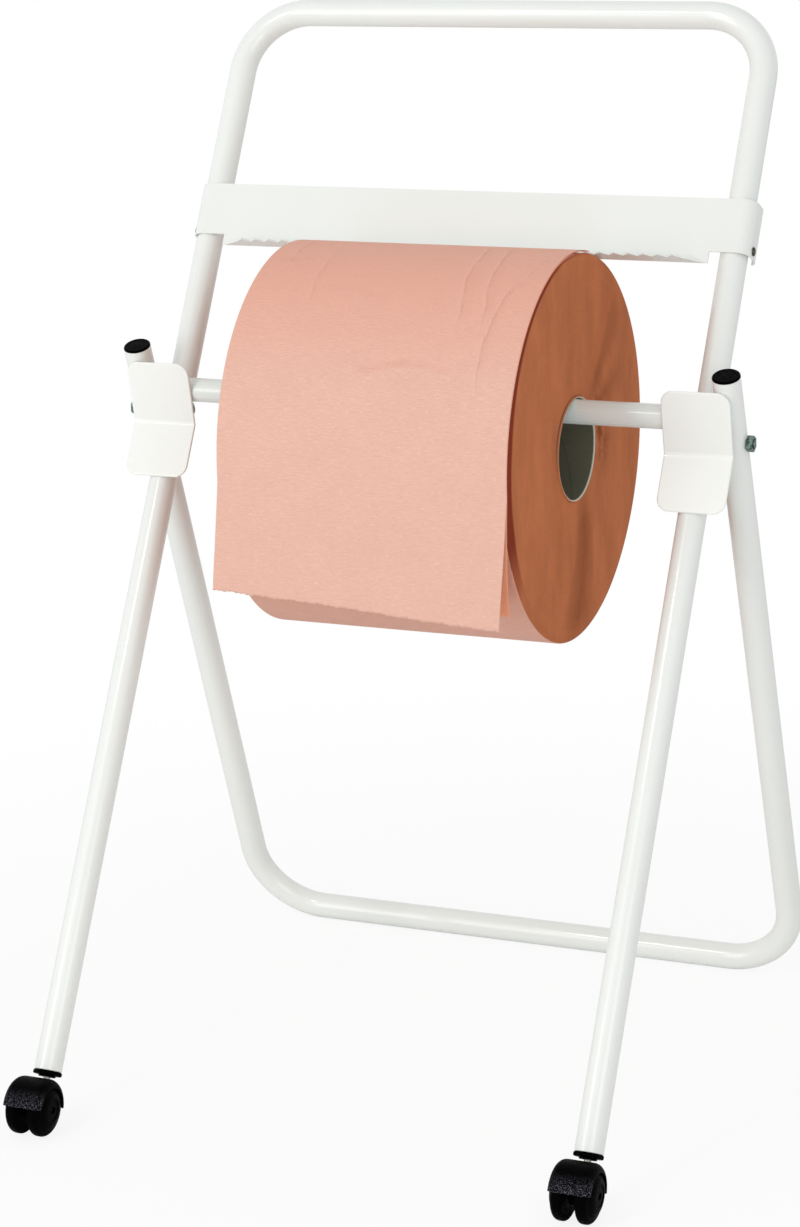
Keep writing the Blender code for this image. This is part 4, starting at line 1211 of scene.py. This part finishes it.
# Shares of the castors' sizes: the wheel's bore of the web's hub, the step round the wheel's
# disc of its dome, the disc's sunk middle of the disc, the web's edge of its thickness, the
# collar's edge of its height, its hole of the boss's waist, and its notches of its radius.
WHEEL_BORE = 1 / 6
DISC_STEP = 1 / 8
DISC_SUNK = 0.55
WEB_EDGE = 1 / 12
COLLAR_EDGE = 1 / 5
COLLAR_HOLE = 0.85
NOTCH_DEPTH = 0.10
NOTCH_SLOPE = 3
NOTCH_START = 1.6
DOME_STEPS = 11
HOOD_ROWS = 72
HOOD_COLUMNS = 12
WEB_HOOD_STEPS = 60
WEB_HUB_STEPS = 40


class STAND_OT_castors(bpy.types.Operator):
    """Builds the hoods, webs, bosses, collars and wheels of the castors"""

    bl_idname = "stand.castors"
    bl_label = "Castors"

    def execute(self, context):
        sizes = context.scene.castor_sizes
        tube = context.scene.stand_sizes
        hood_radius = WHEEL_RADIUS + sizes.hood_clearance + sizes.hood_wall
        tread_end = sizes.wheel_gap / 2 + sizes.wheel_width - sizes.dome - sizes.outer_rounding
        height = WHEEL_RADIUS - sizes.outer_rounding
        profile = self.wheel_profile(sizes, tread_end, height)
        for side, outward in SIDES.items():
            self.hood(side, sizes, tread_end, height, hood_radius)
            self.web(side, sizes, hood_radius)
            self.boss(side, sizes, tube.fit, hood_radius)
            self.collar(side, sizes, tube)
            for place, way in (("_outer", outward), ("_inner", -outward)):
                name = "wheel_" + side + place
                facing = profile * (way, 1)
                wheel = turned(facing, AXLES[side], SIDE, BACK, WHEEL_SIDES, closed=True)
                make_piece(name, wheel, "grained black plastic", name, "castor_" + name)
        return {"FINISHED"}

    def wheel_profile(self, sizes, tread_end, height):
        """(distance, radius) round a wheel: rounded tread, domed face with a shallow hub disc."""
        near = sizes.wheel_gap / 2
        far = near + sizes.wheel_width
        bore = sizes.web_hub * WHEEL_BORE
        hub = sizes.hub / 2
        inner = sizes.inner_rounding
        step = sizes.dome * DISC_STEP
        share = np.linspace(0, 1, DOME_STEPS + 1)[1:]
        shoulder = tread_end + sizes.outer_rounding
        face = shoulder + (far - shoulder) * np.sin(share * QUARTER)
        return np.concatenate(
            [
                [[near, bore]],
                bow(near + inner, WHEEL_RADIUS - inner, inner, 2 * QUARTER, QUARTER, ARC_STEPS),
                bow(tread_end, height, sizes.outer_rounding, QUARTER, 0, ARC_STEPS),
                np.stack([face, height + (hub - height) * share], -1),
                [[far - step, hub - step], [far - step, hub - 3 * step]],
                [[far - step / 2, hub * DISC_SUNK], [far - step / 2, bore]],
            ]
        )

    def hood(self, side, sizes, tread_end, height, radius):
        """The hood's outer skin: a flat crown with rounded shoulders, carried round the axle
        from its front edge to its back edge, then given its wall inwards."""
        right = bow(tread_end, height, radius - height, QUARTER, 0, HOOD_COLUMNS)
        crown = np.linspace(-tread_end, tread_end, HOOD_COLUMNS)[1:-1]
        crown = np.stack([crown, np.full(len(crown), radius)], -1)
        section = np.concatenate([right[::-1] * (-1, 1), crown, right])[None, :, :, None]
        angles = np.linspace(sizes.hood_front, sizes.hood_back, HOOD_ROWS)[:, None]
        ways = spokes(angles, -BACK, UP)
        points = AXLES[side] + section[:, :, 0] * SIDE + section[:, :, 1] * ways
        hood = make_piece(
            "castor_" + side + "_shell",
            (points, quads(*points.shape[:2])),
            "bright-grained plastic",
            "castor_" + side,
            "castor_hood_" + side,
            open_sheet=True,
        )
        thicken(hood, sizes.hood_wall, -1, sizes.hood_wall / 4)

    def web(self, side, sizes, hood_radius):
        """The plate between the wheels: its edge follows the hood and then a hub round the axle.
        Each layer has a distance along the axle, a share of the radius and a trim off it."""
        half = sizes.web / 2
        edge = sizes.web * WEB_EDGE
        front = sizes.hood_front + sizes.web_inset
        back = sizes.hood_back - sizes.web_inset
        on_hood = np.linspace(front, back, WEB_HOOD_STEPS)
        on_hub = np.linspace(back, FULL_TURN + front, WEB_HUB_STEPS)
        angles = np.concatenate([on_hood, on_hub])
        radii = [hood_radius - sizes.hood_wall / 2, sizes.web_hub / 2]
        radii = np.repeat(radii, [WEB_HOOD_STEPS, WEB_HUB_STEPS])
        near_side = [(-half, 0, 0), (-half, 1, edge), (edge - half, 1, 0)]
        far_side = [(-distance, share, trim) for distance, share, trim in near_side[::-1]]
        distance, share, trim = np.array(near_side + far_side).T[..., None]
        reach = share * radii - trim
        ways = spokes(angles, -BACK, UP)
        points = AXLES[side] + distance[..., None] * SIDE + reach[..., None] * ways
        grid = points, quads(*reach.shape, False, True)
        make_piece("castor_" + side + "_web", grid, "grained black plastic", "castor_" + side)

    def boss(self, side, sizes, fit, hood_radius):
        """The boss turned about the stem, from inside the hood to below the collar's neck."""
        from_collar = AXLES[side] - COLLARS[side]
        drop = -float(from_collar @ UP_LEG)
        lead = float(from_collar @ AHEAD)
        wall = sizes.hood_wall
        low = math.sqrt(hood_radius**2 - lead**2) - drop - 2 * wall
        top = -sizes.collar_height - sizes.neck_height - sizes.neck_gap - 2 * fit
        waist = self.waist(sizes)
        radius = sizes.boss / 2
        profile = [[low - radius, 0], [low - radius, waist], [low + wall, waist]]
        profile += [[top - wall, radius], [top - fit, radius], [top, radius - fit], [top, 0]]
        boss = turned(np.array(profile), COLLARS[side], UP_LEG, SIDE, SMALL_SIDES)
        make_piece("castor_" + side + "_boss", boss, "grained black plastic", "castor_" + side)

    def waist(self, sizes):
        """Radius of the boss where it goes between the wheels."""
        return (sizes.wheel_gap + sizes.web) / 4

    def collar(self, side, sizes, tube):
        """The collar and its neck under the tube and its shank in the bore, turned about the
        stem, with the rim drawn in at each notch."""
        fit = tube.fit
        bore = tube.tube_bore / 2 - fit
        stem = self.waist(sizes) * COLLAR_HOLE
        neck = sizes.neck / 2
        rim = sizes.collar / 2
        low = -fit - sizes.collar_height
        bottom = low - sizes.neck_height
        top = tube.bore_depth - sizes.collar_short
        edge = sizes.collar_height * COLLAR_EDGE
        profile = [[bottom, stem], [bottom, neck], [low, neck], [low, rim - edge]]
        profile += [[low + edge, rim], [-fit - edge, rim], [-fit, rim - edge]]
        profile = np.array(profile + [[-fit, bore], [top, bore], [top, stem]])
        angles = np.linspace(0, FULL_TURN, FINE_SIDES, endpoint=False)
        notch = np.clip(np.cos(sizes.notches * angles) * NOTCH_SLOPE - NOTCH_START, 0, 1)
        scale = 1 - NOTCH_DEPTH * notch * (profile[:, 1:] > rim - 2 * edge)
        axis = COLLARS[side], UP_LEG, SIDE
        collar = turned(profile, *axis, FINE_SIDES, closed=True, scale=scale)
        finish = "grained black plastic"
        replaced = "castor_socket_" + side
        make_piece("castor_" + side + "_collar", collar, finish, "front_stand", replaced)


# Each lamp's place and diameter. They are aimed at the middle of the stand.
LAMPS = {
    "key": ((-2.2, -3.4, 1.5), 2.2),
    "fill": ((2.6, -3.2, 1.7), 2.2),
    "glint": ((-0.95, -2.1, 2.45), 0.4),
}
LAMP_AIM = Vector((0.0, 0.0, 0.5))
WHITE = (1.0, 1.0, 1.0)
FLOOR_REACH = 30.0
FLOOR_FADE = (0.35, 1.1, 0.86, 1.0)


class STAND_OT_stage(bpy.types.Operator):
    """Sets up the floor, the soft lights, the world and the photograph's camera"""

    bl_idname = "stand.stage"
    bl_label = "Stage"

    def execute(self, context):
        scene = context.scene
        settings = scene.stage_settings
        self.floor(scene, tuple(scene.stand_finishes.floor))
        for name, (place, size) in LAMPS.items():
            self.lamp(scene, name, Vector(place), size, getattr(settings, name + "_power"))
        self.sky(scene, settings.sky)
        self.camera(scene, settings)
        scene.view_settings.view_transform = "Standard"
        return {"FINISHED"}

    def floor(self, scene, tone):
        """A wide pale floor that fades to white for the camera away from the object, and keeps
        the object's soft shadow near it."""
        mesh = bpy.data.meshes.new("floor")
        corners = ((-1, -1), (1, -1), (1, 1), (-1, 1))
        square = [(x * FLOOR_REACH, y * FLOOR_REACH, 0) for x, y in corners]
        mesh.from_pydata(square, [], [(0, 1, 2, 3)])
        made = Recipe("pale floor", tone, 0.9, Specular_IOR_Level=0.0)
        from_middle = made.node("VectorMath", Vector=made.place())
        from_middle.operation = "LENGTH"
        far = made.remap(from_middle.outputs["Value"], *FLOOR_FADE)
        seen = made.node("LightPath").outputs["Is Camera Ray"]
        white = made.node("Emission", Color=WHITE, Strength=1.0)
        mixed = made.node("MixShader", Fac=made.times(far, seen))
        made.join(mixed.inputs[1], made.shader.outputs["BSDF"])
        made.join(mixed.inputs[2], white.outputs["Emission"])
        made.plug(made.tree.nodes["Material Output"], Surface=mixed.outputs["Shader"])
        mesh.materials.append(made.made)
        floor = bpy.data.objects.new("floor", mesh)
        scene.collection.objects.link(floor)

    def lamp(self, scene, name, place, size, watts):
        """A round soft lamp, aimed at the middle of the stand."""
        lamp = bpy.data.lights.new(name, "AREA")
        lamp.shape = "DISK"
        lamp.size = size
        lamp.energy = watts
        obj = bpy.data.objects.new(name, lamp)
        obj.location = place
        obj.rotation_euler = (LAMP_AIM - place).to_track_quat("-Z", "Y").to_euler()
        scene.collection.objects.link(obj)

    def sky(self, scene, strength):
        """A white surround for the camera and for reflections, and a dimmer one for even light."""
        world = bpy.data.worlds.new("surround")
        world.use_nodes = True
        made = Nodes(world.node_tree)
        paths = made.node("LightPath").outputs
        seen = made.calc("MAXIMUM", paths["Is Camera Ray"], paths["Is Glossy Ray"])
        seen = made.calc("MAXIMUM", seen, paths["Is Transmission Ray"])
        level = made.remap(seen, 0.0, 1.0, strength, 1.0)
        made.plug(made.tree.nodes["Background"], Color=WHITE, Strength=level)
        scene.world = world

    def camera(self, scene, settings):
        """The camera's axes from its azimuth, dip and roll."""
        azimuth, dip, roll = settings.camera_azimuth, settings.camera_dip, settings.camera_roll
        level = math.cos(azimuth) * BACK - math.sin(azimuth) * SIDE
        forward = math.cos(dip) * level - math.sin(dip) * UP
        right = np.cross(forward, UP)
        right = right / np.linalg.norm(right)
        down = np.cross(forward, right)
        turned_right = math.cos(roll) * right + math.sin(roll) * down
        turned_down = math.cos(roll) * down - math.sin(roll) * right
        axes = np.stack([turned_right, -turned_down, -forward], 1)
        lens = bpy.data.cameras.new("camera")
        lens.lens = settings.lens
        lens.shift_y = settings.shift_up
        camera = bpy.data.objects.new("camera", lens)
        place = Vector(PIVOT) + Vector(settings.camera_offset)
        camera.matrix_world = Matrix.Translation(place) @ Matrix(axes.tolist()).to_4x4()
        scene.collection.objects.link(camera)
        scene.camera = camera


PIECES = (
    STAND_OT_frame_tubes,
    STAND_OT_tube_plugs,
    STAND_OT_brackets,
    STAND_OT_tear_bar,
    STAND_OT_fasteners,
    STAND_OT_spindle,
    STAND_OT_roll,
    STAND_OT_hanging_paper,
    STAND_OT_castors,
    STAND_OT_stage,
)


class STAND_PT_pieces(bpy.types.Panel):
    """Lists the pieces of the stand"""

    bl_idname = "STAND_PT_pieces"
    bl_label = "Paper stand"
    bl_space_type = "VIEW_3D"
    bl_region_type = "UI"
    bl_category = "Paper stand"

    def draw(self, context):
        for piece in PIECES:
            self.layout.operator(piece.bl_idname, text=piece.bl_label)


SETTINGS = {
    "stand_sizes": StandSizes,
    "paper_sizes": PaperSizes,
    "castor_sizes": CastorSizes,
    "stand_finishes": Finishes,
    "stage_settings": StageSettings,
}


def register():
    """Registers the settings, the operators and the panel."""
    for name, group in SETTINGS.items():
        bpy.utils.register_class(group)
        setattr(bpy.types.Scene, name, PointerProperty(type=group))
    for made in (*PIECES, STAND_PT_pieces):
        bpy.utils.register_class(made)


def unregister():
    """Takes away what register gave."""
    for made in (STAND_PT_pieces, *reversed(PIECES)):
        bpy.utils.unregister_class(made)
    for name, group in SETTINGS.items():
        delattr(bpy.types.Scene, name)
        bpy.utils.unregister_class(group)


def main():
    """Builds every piece and the stage."""
    register()
    for piece in PIECES:
        family, action = piece.bl_idname.split(".")
        getattr(getattr(bpy.ops, family), action)()


if __name__ == "__main__":
    main()
